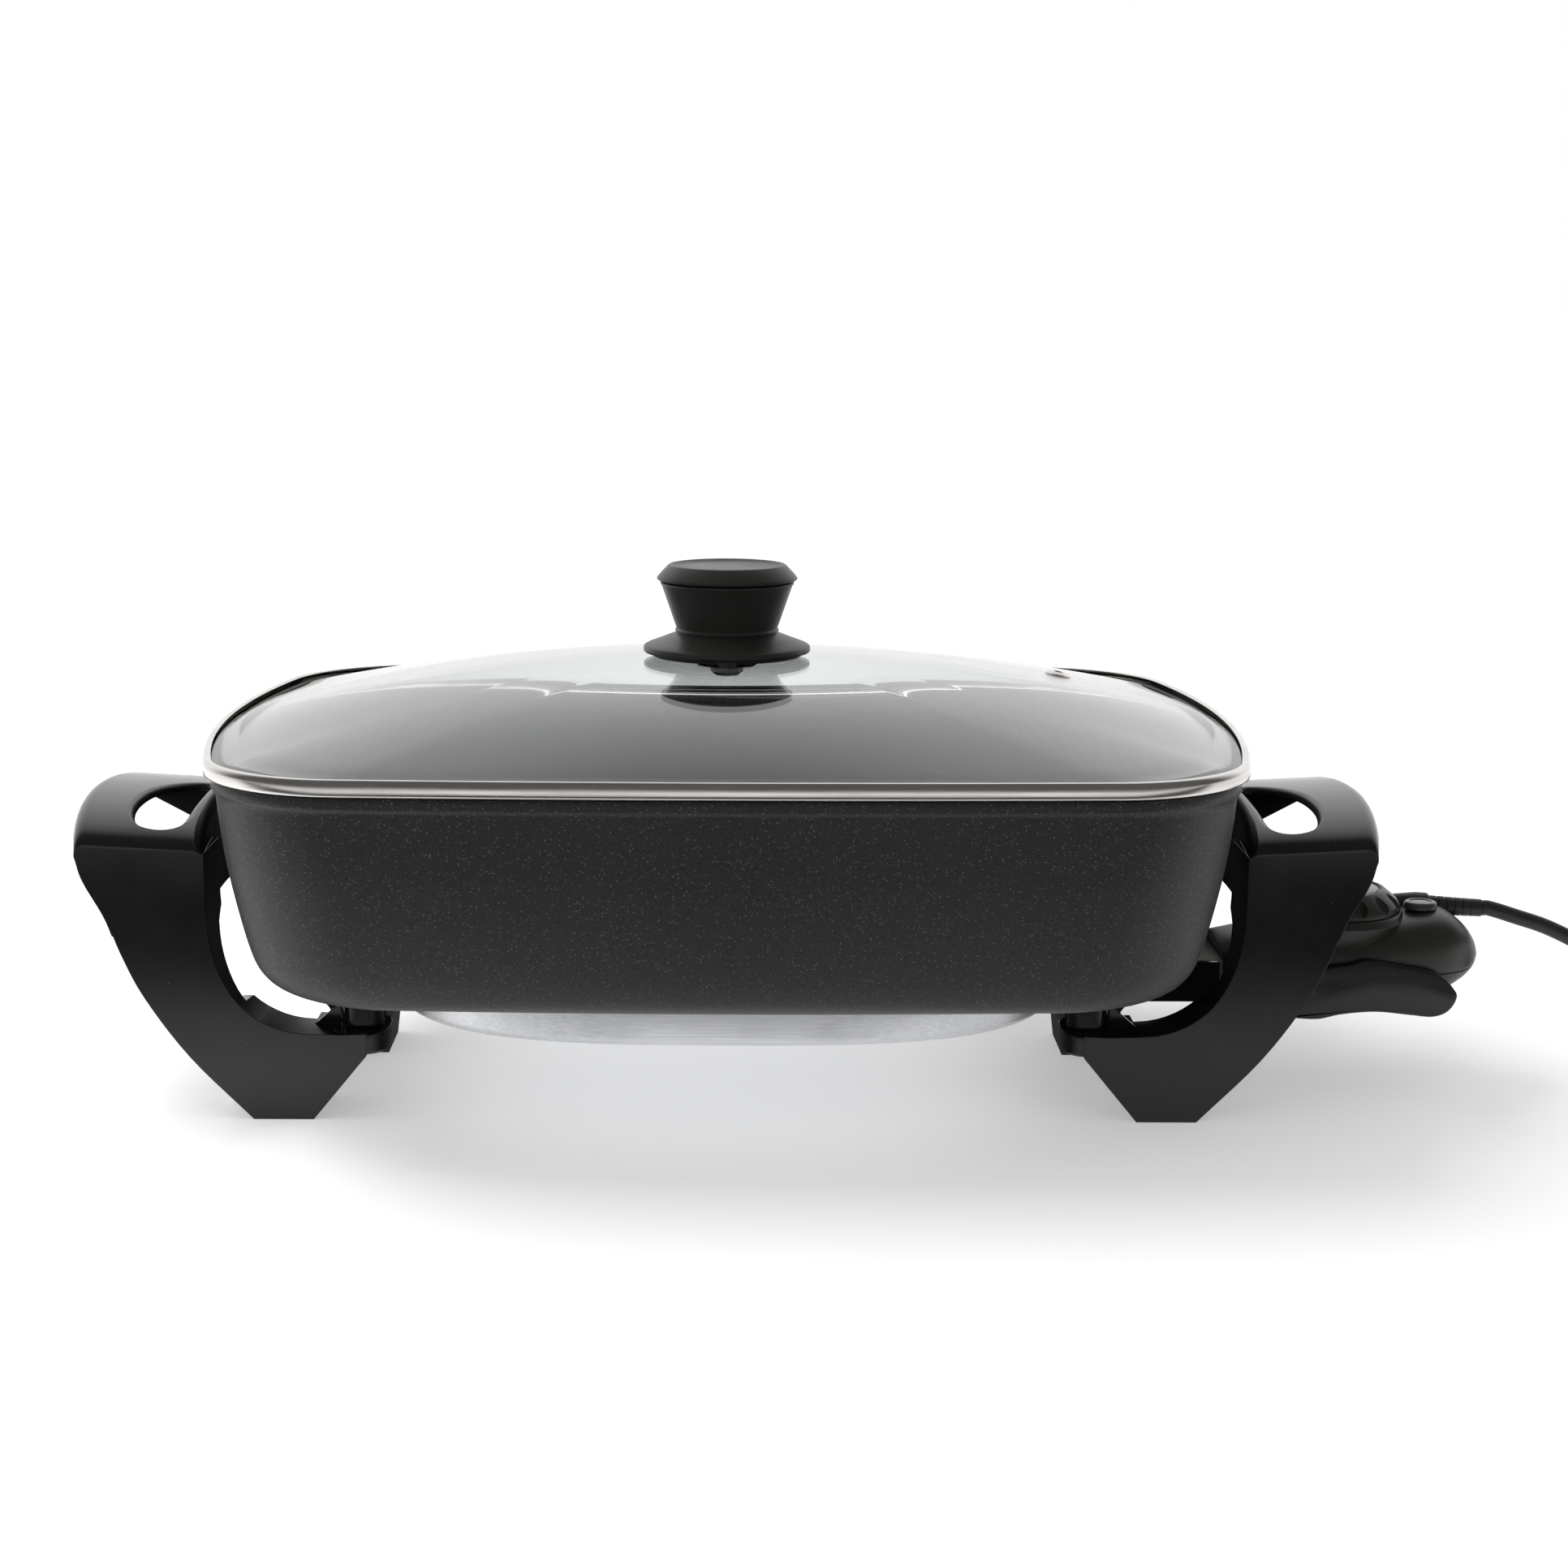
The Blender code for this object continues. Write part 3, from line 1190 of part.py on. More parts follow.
def relief_frame():
    """Placement of the strain relief: its axis leaves the housing along +X, tilted down."""
    turn = Matrix.Rotation(math.pi / 2 + RELIEF_TILT, 4, "Y")
    return Matrix.Translation((RELIEF_X, RELIEF_Y, RELIEF_Z)) @ turn


def make_housing():
    top = housing_half("controller_top", True)
    pedestal_top = DIAL_Z - SEAT_GAP
    low = pedestal_top - PEDESTAL_DROP
    pedestal = turned("pedestal", [
        (0, pedestal_top), (PEDESTAL_RADIUS, pedestal_top),
        (PEDESTAL_RADIUS + PEDESTAL_FLARE, pedestal_top - PEDESTAL_FLARE * 2),
        (PEDESTAL_RADIUS - PEDESTAL_FLARE * 2, low), (0, low)], (DIAL_X, 0, 0))
    shape(top, cutter(pedestal), "UNION")
    ceiling = pedestal_top - HOUSING_WALL
    room = turned("pedestal_room", [
        (0, ceiling), (PEDESTAL_RADIUS - HOUSING_WALL, ceiling),
        (PEDESTAL_RADIUS - HOUSING_WALL * 3, low - OVERRUN), (0, low - OVERRUN)], (DIAL_X, 0, 0))
    shape(top, cutter(room))
    shape(top, cutter(cylinder("shaft_way", (DIAL_X, 0, PARTING_Z), (DIAL_X, 0, DIAL_Z + OVERRUN),
                               SHAFT_RADIUS + FIT_GAP)))
    shape(top, cutter(cylinder("lens_way", (LAMP_X, LAMP_Y, LENS_TOP_Z - LENS_THICK - OVERRUN),
                               (LAMP_X, LAMP_Y, HOUSING_TOP_Z + OVERRUN),
                               LENS_CORE + FIT_GAP)))
    turret = cylinder("turret", (0, 0, -TURRET_LENGTH), (0, 0, TURRET_LIP),
                      RELIEF_ROOT_RADIUS + FIT_GAP + TURRET_WALL, sides=20)
    way = cylinder("relief_way", (0, 0, TURRET_WALL - TURRET_LENGTH), (0, 0, RELIEF_LENGTH),
                   RELIEF_ROOT_RADIUS + FIT_GAP, sides=20)
    for tool in (turret, way):
        tool.data.transform(relief_frame())
    shape(top, cutter(turret), "UNION")
    shape(top, cutter(way))
    start = RELIEF_X - TURRET_LENGTH + TURRET_WALL
    half = RELIEF_ROOT_RADIUS * LEAD_WAY_SHARE
    lead_way = box("lead_way", (start, RELIEF_Y - half, RELIEF_Z - PEDESTAL_DROP),
                   (start + TURRET_LENGTH / 3, RELIEF_Y + half, RELIEF_Z))
    shape(top, cutter(lead_way))
    base = housing_half("controller_base", False)
    head_z = HOUSING_BOTTOM_Z + HOUSING_WALL
    for side, place in SIDES:
        x = HOUSING_SCREW_X
        y = side * HOUSING_SCREW_Y
        post = cylinder("boss_low", (x, y, head_z - HOUSING_WALL / 3),
                        (x, y, PARTING_Z - SEAT_GAP / 2), BOSS_RADIUS)
        shape(base, cutter(post), "UNION")
        boss = cylinder("boss_high", (x, y, PARTING_Z + SEAT_GAP / 2),
                        (x, y, PARTING_Z + HOUSING_SCREW_LENGTH * BOSS_SHARE), BOSS_RADIUS)
        shape(top, cutter(boss), "UNION")
    for side, place in SIDES:
        x = HOUSING_SCREW_X
        y = side * HOUSING_SCREW_Y
        seat = head_z + HOUSING_HEAD_THICK
        shape(base, cutter(cylinder("base_screw_way", (x, y, 0), (x, y, PARTING_Z + OVERRUN),
                                    HOUSING_SCREW_RADIUS + FIT_GAP)))
        shape(base, cutter(cylinder("base_recess", (x, y, 0), (x, y, seat),
                                    HOUSING_HEAD_RADIUS + FIT_GAP)))
        tip = seat - SEAT_GAP + HOUSING_SCREW_LENGTH
        shape(top, cutter(cylinder("top_screw_way", (x, y, PARTING_Z - OVERRUN),
                                   (x, y, tip + SEAT_GAP), HOUSING_SCREW_RADIUS + FIT_GAP)))
        head = screw("housing_screw", x, y, seat - SEAT_GAP, HOUSING_SCREW_LENGTH,
                     HOUSING_SCREW_RADIUS, HOUSING_HEAD_RADIUS, HOUSING_HEAD_THICK)
        finish(head, "housing_screw_" + place, STEEL, PLUG_AXIS)
    finish(settle(top), "controller_top", MATTE, PLUG_AXIS)
    finish(settle(base), "controller_base", MATTE, PLUG_AXIS)


def make_grip():
    """Side wings under the housing, joined by a floor, to pull the controller by."""
    length = GRIP_END - GRIP_START
    height = GRIP_TOP_Z - GRIP_BOTTOM_Z
    outline = [(GRIP_START + length * u, GRIP_BOTTOM_Z + height * v) for u, v in GRIP_SHARES]
    loop = smooth_outline(outline + outline[:1], 2)[:-1]
    half = HOUSING_HALF + SEAT_GAP + GRIP_WALL
    grip = cutter(plate("finger_grip", tidy(loop), -half, half, "Y"))
    room = box("grip_room", (GRIP_START - OVERRUN, GRIP_WALL - half, HOUSING_BOTTOM_Z - SEAT_GAP),
               (GRIP_END + OVERRUN, half - GRIP_WALL, GRIP_TOP_Z + OVERRUN))
    shape(grip, cutter(room))
    foot = cylinder("grip_foot", (GRIP_FOOT_X, 0, GRIP_BOTTOM_Z - GRIP_FOOT_HEIGHT),
                    (GRIP_FOOT_X, 0, HOUSING_BOTTOM_Z - SEAT_GAP * 2), GRIP_FOOT_RADIUS)
    shape(grip, cutter(foot), "UNION")
    finish(settle(grip), "finger_grip", GLOSS, PLUG_AXIS)


def make_nose():
    low, high = nose_heights()
    block = cutter(box("contact_block", (NOSE_X, -NOSE_HALF, low),
                       (NOSE_X + NOSE_LENGTH, NOSE_HALF, high)))
    past = NOSE_X + NOSE_LENGTH + OVERRUN
    for side in (-1, 1):
        y = side * PIN_SPREAD
        shape(block, cutter(cylinder("sleeve_way", (NOSE_X - OVERRUN, y, AXIS_Z),
                                     (past, y, AXIS_Z), SLEEVE_RADIUS + FIT_GAP)))
    shape(block, cutter(cylinder("probe_way", (NOSE_X - OVERRUN, 0, AXIS_Z), (past, 0, AXIS_Z),
                                 PROBE_RADIUS + FIT_GAP)))
    finish(block, "contact_block", CERAMIC, PLUG_AXIS, smooth=False)
    for side, place in SIDES:
        profile = [(SLEEVE_BORE, SLEEVE_LENGTH), (SLEEVE_RADIUS, SLEEVE_LENGTH),
                   (SLEEVE_RADIUS, 0), (SLEEVE_BORE, 0)]
        sleeve = turned("sleeve", profile, sides=SMALL_ROUND)
        sleeve.data.transform(Matrix.Rotation(math.pi / 2, 4, "Y"))
        sleeve.data.transform(Matrix.Translation((NOSE_X + SEAT_GAP, side * PIN_SPREAD, AXIS_Z)))
        finish(sleeve, "contact_sleeve_" + place, BRASS, PLUG_AXIS)
    tip = WELL_DEPTH_X + (WELL_RADIUS - WELL_BORE) + PROBE_TIP_GAP
    length = PROBE_TAIL_X - tip
    tip_radius, tip_start = (PROBE_RADIUS * share for share in PROBE_TIP_SHARES)
    rod = turned("probe_rod", [(0, length), (PROBE_RADIUS, length), (PROBE_RADIUS, PROBE_RADIUS),
                               (tip_radius, tip_start), (0, 0)], sides=SMALL_ROUND)
    rod.data.transform(Matrix.Rotation(math.pi / 2, 4, "Y"))
    rod.data.transform(Matrix.Translation((tip, 0, AXIS_Z)))
    finish(rod, "probe_rod", STEEL, PLUG_AXIS)
    collar_x = NOSE_X + NOSE_LENGTH + SEAT_GAP
    collar = cylinder("probe_collar", (collar_x, 0, AXIS_Z),
                      (collar_x + PROBE_COLLAR_THICK, 0, AXIS_Z), PROBE_COLLAR_RADIUS, sides=6)
    bore = cylinder("collar_bore", (NOSE_X, 0, AXIS_Z), (FRAME_X1, 0, AXIS_Z),
                    PROBE_RADIUS + FIT_GAP)
    shape(collar, cutter(bore))
    finish(collar, "probe_collar", STEEL, PLUG_AXIS, smooth=False)


def make_dial():
    top = DIAL_HEIGHT
    sunk = top - DIAL_INSERT_THICK
    wall = DIAL_WALL
    bore = SHAFT_RADIUS + FIT_GAP
    cone = [(DIAL_RADIUS * wide, top * high) for wide, high in DIAL_SIDE_SHARES]
    hollow_wall, hollow_high = DIAL_HOLLOW_SHARES
    out_share, middle_share, half_share = DIAL_NOTCH_SHARES
    body = turned("dial", [
        (bore, sunk), (DIAL_TOP_RADIUS - wall / 2, sunk), (DIAL_TOP_RADIUS - wall / 2, top),
        (DIAL_TOP_RADIUS, top)] + cone + [
        (DIAL_RADIUS, 0), (DIAL_RADIUS - wall, 0),
        (DIAL_RADIUS - wall * hollow_wall, top * hollow_high),
        (DIAL_TOP_RADIUS - wall, sunk - wall), (bore * 2, sunk - wall), (bore * 2, 0), (bore, 0)],
        (DIAL_X, 0, DIAL_Z), sides=ROUND)
    cutter(body)
    for i in range(DIAL_NOTCHES):
        angle = 2 * math.pi * i / DIAL_NOTCHES
        reach = (DIAL_RADIUS + DIAL_TOP_RADIUS) / 2 + DIAL_NOTCH_RADIUS * out_share
        lean = Vector((-math.sin(DIAL_NOTCH_TILT), 0, math.cos(DIAL_NOTCH_TILT)))
        middle = Vector((reach, 0, DIAL_HEIGHT * middle_share))
        turn = Matrix.Rotation(angle, 3, "Z")
        ends = [turn @ (middle + lean * DIAL_HEIGHT * half) for half in (-half_share, half_share)]
        place = Vector((DIAL_X, 0, DIAL_Z))
        notch = cylinder("notch", place + ends[0], place + ends[1], DIAL_NOTCH_RADIUS, sides=6)
        shape(body, cutter(notch))
    finish(settle(body), "dial", MATTE, DIAL_AXIS)
    insert_z = DIAL_Z + sunk + SEAT_GAP / 2
    insert = turned("dial_insert", [
        (0, insert_z + DIAL_INSERT_THICK), (DIAL_TOP_RADIUS - wall, insert_z + DIAL_INSERT_THICK),
        (DIAL_TOP_RADIUS - wall, insert_z), (0, insert_z)], (DIAL_X, 0, 0))
    finish(insert, "dial_insert", PALE, DIAL_AXIS)
    shaft_top = DIAL_Z + sunk - SEAT_GAP
    shaft = turned("dial_shaft", [
        (0, shaft_top), (SHAFT_RADIUS, shaft_top), (SHAFT_RADIUS, SHAFT_BOTTOM_Z + SHAFT_RADIUS),
        (SHAFT_RADIUS * 0.5, SHAFT_BOTTOM_Z + SHAFT_RADIUS * 0.5),
        (SHAFT_RADIUS * 0.5, SHAFT_BOTTOM_Z), (0, SHAFT_BOTTOM_Z)], (DIAL_X, 0, 0),
        sides=SMALL_ROUND)
    finish(shaft, "dial_shaft", BRASS, DIAL_AXIS)


def make_thermostat():
    frame = cutter(box("thermostat_frame", (FRAME_X0, -FRAME_HALF, FRAME_Z),
                       (FRAME_X1, FRAME_HALF, FRAME_Z + FRAME_THICK)))
    lug = box("frame_lug", (FRAME_X0, -FRAME_HALF, FRAME_Z),
              (FRAME_X0 + FRAME_THICK, FRAME_HALF, AXIS_Z + PROBE_COLLAR_RADIUS))
    shape(frame, cutter(lug), "UNION")
    shape(frame, cutter(cylinder("frame_hole", (STACK_X, 0, FRAME_Z - OVERRUN),
                                 (STACK_X, 0, FRAME_Z + OVERRUN), STACK_CORE + FIT_GAP)))
    finish(settle(frame), "thermostat_frame", STEEL, PLUG_AXIS, smooth=False)
    for i, level in enumerate(("lower", "upper")):
        z = BLADE_Z + BLADE_SPACING * i
        start = BLADE_X0 + (CONTACT_X - BLADE_X0) * BLADE_STAGGER_SHARE * i
        blade = cutter(box("blade", (start, -BLADE_HALF, z),
                           (STACK_X + STACK_RADIUS, BLADE_HALF, z + BLADE_THICK)))
        face = z + BLADE_THICK if i == 0 else z - CONTACT_THICK
        contact = cylinder("contact", (CONTACT_X, 0, face - BLADE_THICK / 2),
                           (CONTACT_X, 0, face + CONTACT_THICK + BLADE_THICK / 2), CONTACT_RADIUS)
        shape(blade, cutter(contact), "UNION")
        shape(blade, cutter(cylinder("blade_hole", (STACK_X, 0, z - OVERRUN),
                                     (STACK_X, 0, z + OVERRUN), STACK_CORE + FIT_GAP)))
        finish(settle(blade), "thermostat_blade_" + level, BRASS, PLUG_AXIS, smooth=False)
    low = FRAME_Z + FRAME_THICK + SEAT_GAP
    one = BLADE_Z - SEAT_GAP
    two = BLADE_Z + BLADE_THICK + SEAT_GAP
    three = BLADE_Z + BLADE_SPACING - SEAT_GAP
    four = BLADE_Z + BLADE_SPACING + BLADE_THICK + SEAT_GAP
    high = four + BLADE_SPACING / 2
    foot = FRAME_Z - SEAT_GAP
    under = foot - FRAME_THICK
    stack = turned("blade_stack", [
        (0, high), (STACK_RADIUS, high), (STACK_RADIUS, four), (STACK_CORE, four),
        (STACK_CORE, three), (STACK_RADIUS, three), (STACK_RADIUS, two), (STACK_CORE, two),
        (STACK_CORE, one), (STACK_RADIUS, one), (STACK_RADIUS, low), (STACK_CORE, low),
        (STACK_CORE, foot), (STACK_RADIUS, foot), (STACK_RADIUS, under), (0, under)],
        (STACK_X, 0, 0), sides=SMALL_ROUND)
    finish(stack, "blade_stack", CERAMIC, PLUG_AXIS)


def make_lamp():
    low = LENS_TOP_Z - LENS_THICK
    rim = HOUSING_TOP_Z + SEAT_GAP
    flat, fall = LENS_FACE_SHARES
    tip_radius, tip_fall = (LAMP_RADIUS * share for share in LAMP_TIP_SHARES)
    lens = turned("lamp_lens", [
        (0, LENS_TOP_Z), (LENS_RADIUS * flat, LENS_TOP_Z),
        (LENS_RADIUS, LENS_TOP_Z - LENS_THICK * fall),
        (LENS_RADIUS, rim), (LENS_CORE, rim), (LENS_CORE, low), (0, low)],
        (LAMP_X, LAMP_Y, 0), sides=20)
    finish(lens, "lamp_lens", AMBER, PLUG_AXIS)
    lamp_top = low - SEAT_GAP
    lamp = turned("neon_lamp", [
        (0, lamp_top), (tip_radius, lamp_top - tip_fall),
        (LAMP_RADIUS, lamp_top - LAMP_RADIUS), (LAMP_RADIUS, lamp_top - LAMP_LENGTH),
        (0, lamp_top - LAMP_LENGTH)], (LAMP_X, LAMP_Y, 0), sides=SMALL_ROUND)
    finish(lamp, "neon_lamp", LAMP, PLUG_AXIS)
    return lamp_top - LAMP_LENGTH


def make_leads():
    """Two insulated leads from the cord's inner end to the contact sleeves."""
    inner = relief_frame() @ Vector((0, 0, -RELIEF_ROOT - CLAMP_LENGTH - SEAT_GAP * 2))
    inner.x -= LEAD_RADIUS
    sleeve_end = NOSE_X + SEAT_GAP + SLEEVE_LENGTH + SEAT_GAP + LEAD_RADIUS
    for side, place in SIDES:
        y = side * PIN_SPREAD
        start = inner + Vector((0, side * LEAD_RADIUS * LEAD_SPREAD_SHARE, 0))
        lane = side * (FRAME_HALF + LEAD_RADIUS * 2)
        route = [start, start - Vector((0, 0, RELIEF_ROOT_RADIUS)),
                 start + Vector((-LEAD_RADIUS * 2, side * LEAD_RADIUS * 3, -RELIEF_ROOT_RADIUS * 3)),
                 Vector((DIAL_X + SHAFT_RADIUS * 5, lane, AXIS_Z + SLEEVE_RADIUS)),
                 Vector((HOUSING_SCREW_X, lane, AXIS_Z)),
                 Vector((sleeve_end + SLEEVE_RADIUS, y, AXIS_Z)),
                 Vector((sleeve_end, y, AXIS_Z))]
        finish(tube("lead", smooth_line(route, 3), LEAD_RADIUS, 1), "lead_wire_" + place, RUBBER,
               PLUG_AXIS)


def make_relief():
    root = -RELIEF_ROOT
    relief = turned("strain_relief", [
        (0, RELIEF_LENGTH), (RELIEF_TIP_RADIUS, RELIEF_LENGTH),
        (RELIEF_TIP_RADIUS * RELIEF_WAIST_SHARE, RELIEF_LENGTH / 2), (RELIEF_ROOT_RADIUS, 0),
        (RELIEF_ROOT_RADIUS, root), (0, root)], sides=18)
    relief.data.transform(relief_frame())
    finish(relief, "strain_relief", RUBBER, PLUG_AXIS)
    low = root - SEAT_GAP - CLAMP_LENGTH
    clamp = turned("cord_clamp", [
        (0, root - SEAT_GAP), (RELIEF_ROOT_RADIUS, root - SEAT_GAP), (RELIEF_ROOT_RADIUS, low),
        (0, low)], sides=SMALL_ROUND)
    clamp.data.transform(relief_frame())
    finish(clamp, "cord_clamp", STEEL, PLUG_AXIS)


def coil_point(turn):
    """A point of the piled loops: in along the lower layer, out along the upper one."""
    pitch = CORD_DIAMETER + COIL_SPACE
    middle = COIL_TURNS / COIL_LAYERS
    away = turn - middle
    inner = COIL_RADIUS - pitch * COIL_TURNS / 4
    climb = min(max(away + COIL_CLIMB, 0) / (2 * COIL_CLIMB), 1)
    climb = climb * climb * (3 - 2 * climb)
    bend = COIL_CLIMB / 2 + away * away / (2 * COIL_CLIMB)
    spread = abs(away) if abs(away) > COIL_CLIMB else bend
    radius = inner + pitch * spread
    angle = 2 * math.pi * turn - math.pi / 2
    low = TIE_THICK + SEAT_GAP * 2 + CORD_DIAMETER / 2
    centre_y = RELIEF_Y + inner + pitch * middle
    return Vector((COIL_X + radius * math.cos(angle), centre_y + radius * math.sin(angle),
                   low + pitch * climb))


def coil_points():
    count = round(COIL_TURNS * COIL_STEPS)
    points = [coil_point(COIL_TURNS * i / count) for i in range(count + 1)]
    first = points[0]
    last = points[-1]
    end_angle = 2 * math.pi * COIL_TURNS
    ahead = Vector((math.cos(end_angle), math.sin(end_angle), 0))
    return [first - Vector((CORD_DIAMETER, 0, 0))] + points + [last + ahead * CORD_DIAMETER], ahead


def least_gap(points):
    """Smallest air between turns of the coil, measured between its points."""
    gap = COIL_RADIUS
    near = COIL_STEPS // 2
    for i, one in enumerate(points):
        for other in points[i + near:]:
            gap = min(gap, (one - other).length - CORD_DIAMETER)
    return gap


def make_cord():
    points, ahead = coil_points()
    print("least gap between the coil's turns in mm:", round(least_gap(points) * 1000, 2))
    coil = tube("cord_coil", points, CORD_DIAMETER / 2, 1)
    finish(coil, "cord_coil", RUBBER, PLUG_AXIS)
    exit_point = relief_frame() @ Vector((0, 0, RELIEF_LENGTH + SEAT_GAP))
    exit_way = (relief_frame().to_3x3() @ Vector((0, 0, 1))).normalized()
    meet = points[0] - Vector((SEAT_GAP, 0, 0))
    route = [exit_point, exit_point + exit_way * CORD_DIAMETER / 2]
    route += [Vector((RELIEF_X + x, y, z)) for x, y, z in CORD_POINTS]
    route += [meet - Vector((CORD_DIAMETER, 0, 0)), meet]
    line = route[:1] + smooth_line(route[1:], CORD_SMOOTH_STEPS)
    finish(tube("cord", line, CORD_DIAMETER / 2, 2), "cord", RUBBER, PLUG_AXIS)
    start = points[-1] + ahead * SEAT_GAP
    plug_z = PLUG_HALF_HEIGHT + SEAT_GAP
    end = start + ahead * TAIL_LENGTH
    end.z = plug_z
    tail = [start, start + ahead * CORD_DIAMETER, start.lerp(end, 0.5),
            end - ahead * CORD_DIAMETER, end]
    finish(tube("cord_tail", smooth_line(tail, 3), CORD_DIAMETER / 2, 2), "cord_tail", RUBBER,
           PLUG_AXIS)
    make_plug(end + ahead * SEAT_GAP, ahead)
    make_tie()


def make_tie():
    """A flat band round the bundle of turns."""
    pitch = CORD_DIAMETER + COIL_SPACE
    spots = [coil_point(n + (TIE_ANGLE + math.pi / 2) / (2 * math.pi))
             for n in range(int(COIL_TURNS))]
    centre = Vector((COIL_X, coil_point(0).y + COIL_RADIUS + pitch * COIL_TURNS / 4, 0))
    out = Vector((math.cos(TIE_ANGLE), math.sin(TIE_ANGLE), 0))
    reaches = [(spot - centre).dot(out) for spot in spots]
    clear = CORD_DIAMETER / 2 + SEAT_GAP * 2
    near = min(reaches) - clear
    far = max(reaches) + clear
    low = TIE_THICK
    high = TIE_THICK + SEAT_GAP * 3 + CORD_DIAMETER * COIL_LAYERS + COIL_SPACE + SEAT_GAP
    rings = []
    for grow in (TIE_THICK, 0):
        for way in (-1, 1) if grow else (1, -1):
            side = Vector((-out.y, out.x, 0)) * TIE_WIDTH / 2 * way
            corners = [(near - grow, low - grow), (far + grow, low - grow),
                       (far + grow, high + grow), (near - grow, high + grow)]
            rings.append([centre + out * r + side + Vector((0, 0, z)) for r, z in corners])
    finish(loft("coil_tie", rings, closed=True), "coil_tie", SILICONE, PLUG_AXIS, smooth=False)


def make_plug(start, ahead):
    """A two-blade plug that lies beside the coil."""
    side = Vector((-ahead.y, ahead.x, 0))
    up = Vector((0, 0, 1))
    rings = []
    sections = [(0, PLUG_NECK, PLUG_NECK), (PLUG_NECK_SHARE, PLUG_NECK, PLUG_NECK)]
    sections += [(along, PLUG_HALF_WIDTH * wide, PLUG_HALF_HEIGHT * tall)
                 for along, wide, tall in PLUG_SHARES]
    for along, wide, tall in sections:
        ring = superellipse(wide, tall, 3, PLUG_STEPS)
        rings.append([start + ahead * PLUG_LENGTH * along + side * u + up * v for u, v in ring])
    body = loft("plug_body", rings)
    finish(body, "plug_body", RUBBER, PLUG_AXIS)
    face = start + ahead * (PLUG_LENGTH + SEAT_GAP)
    long, narrow = BLADE_TIP_SHARES
    for way, place in SIDES:
        middle = face + side * (way * BLADE_PIN_SPREAD / 2)
        rings = []
        for along, tall in ((0, BLADE_PIN_WIDTH), (BLADE_PIN_LENGTH * long, BLADE_PIN_WIDTH),
                            (BLADE_PIN_LENGTH, BLADE_PIN_WIDTH * narrow)):
            corners = [(-BLADE_PIN_THICK / 2, -tall / 2), (BLADE_PIN_THICK / 2, -tall / 2),
                       (BLADE_PIN_THICK / 2, tall / 2), (-BLADE_PIN_THICK / 2, tall / 2)]
            rings.append([middle + ahead * along + side * u + up * v for u, v in corners])
        finish(loft("plug_blade", rings), "plug_blade_" + place, BRASS, PLUG_AXIS, smooth=False)


def main():
    make_pan()
    make_base()
    make_terminals()
    make_guard()
    make_bracket("left_bracket", -1)
    make_bracket("right_bracket", 1)
    make_posts()
    make_lid()
    make_vent()
    make_knob()
    make_housing()
    make_grip()
    make_nose()
    make_dial()
    make_thermostat()
    make_lamp()
    make_leads()
    make_relief()
    make_cord()
    bpy.context.view_layer.update()


main()
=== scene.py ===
"""Looks for the electric skillet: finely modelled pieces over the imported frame, their
materials, the studio and the camera. Units are metres, in the frame of the CAD model, and
millimetres in the profiles that pass through mm(). Shapes are drawn about the pan's middle
and shifted by PAN_SHIFT."""

import json
import math

import bmesh
import bpy
from mathutils import Matrix, Vector


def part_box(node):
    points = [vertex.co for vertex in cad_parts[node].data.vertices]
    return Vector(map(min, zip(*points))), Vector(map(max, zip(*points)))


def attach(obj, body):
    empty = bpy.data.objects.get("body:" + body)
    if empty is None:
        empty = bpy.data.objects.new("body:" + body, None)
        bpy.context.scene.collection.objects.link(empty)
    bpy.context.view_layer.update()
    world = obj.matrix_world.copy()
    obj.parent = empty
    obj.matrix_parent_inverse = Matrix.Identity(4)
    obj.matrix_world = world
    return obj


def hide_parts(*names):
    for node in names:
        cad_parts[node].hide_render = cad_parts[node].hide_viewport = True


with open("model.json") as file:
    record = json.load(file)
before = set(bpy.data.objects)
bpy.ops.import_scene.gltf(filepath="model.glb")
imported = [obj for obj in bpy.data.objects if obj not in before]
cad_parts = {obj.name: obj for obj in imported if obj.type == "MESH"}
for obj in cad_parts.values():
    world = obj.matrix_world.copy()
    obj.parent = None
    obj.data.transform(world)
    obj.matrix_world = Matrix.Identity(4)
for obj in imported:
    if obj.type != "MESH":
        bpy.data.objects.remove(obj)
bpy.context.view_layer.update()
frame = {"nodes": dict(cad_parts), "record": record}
NODES = frame["nodes"]

PAN_SHIFT = -0.02495
SEAT_GAP = 0.0003
PAN_RIM_Z = 0.1433
BAND_TOP_Z = 0.1511
AXIS_Z = 0.04945           # the element's pins and the controller's probe lie at this height
MERGE = 0.00001
OVERRUN = 0.002            # how far a cutter runs past what it cuts
LEAST_RING_STEP = 0.0002   # rings that lie closer together are left out
SIDES = ((-1, "front"), (1, "rear"))


def link(obj):
    bpy.context.scene.collection.objects.link(obj)
    return obj


# Camera and light

bpy.context.scene.view_settings.view_transform = "Standard"

CAMERA_BACK = 1.1000
CAMERA_RISE = 0.1728       # above the lid band's top
CAMERA_PITCH = math.radians(10.386)
CAMERA_LENS = 63.21
CAMERA_SHIFT = 0.03675
CAMERA_ROLL = math.radians(0.22)
LIGHTS_AIM = (0, 0, 0.08)


def make_camera():
    data = bpy.data.cameras.new("camera")
    data.sensor_width = 36
    data.lens = CAMERA_LENS
    data.shift_x = CAMERA_SHIFT
    data.clip_start = 0.05
    data.clip_end = 50
    camera = bpy.data.objects.new("camera", data)
    camera.location = (PAN_SHIFT, -CAMERA_BACK, BAND_TOP_Z + CAMERA_RISE)
    tilt = Matrix.Rotation(math.pi / 2 - CAMERA_PITCH, 3, "X")
    camera.rotation_euler = (tilt @ Matrix.Rotation(CAMERA_ROLL, 3, "Z")).to_euler()
    link(camera)
    bpy.context.scene.camera = camera


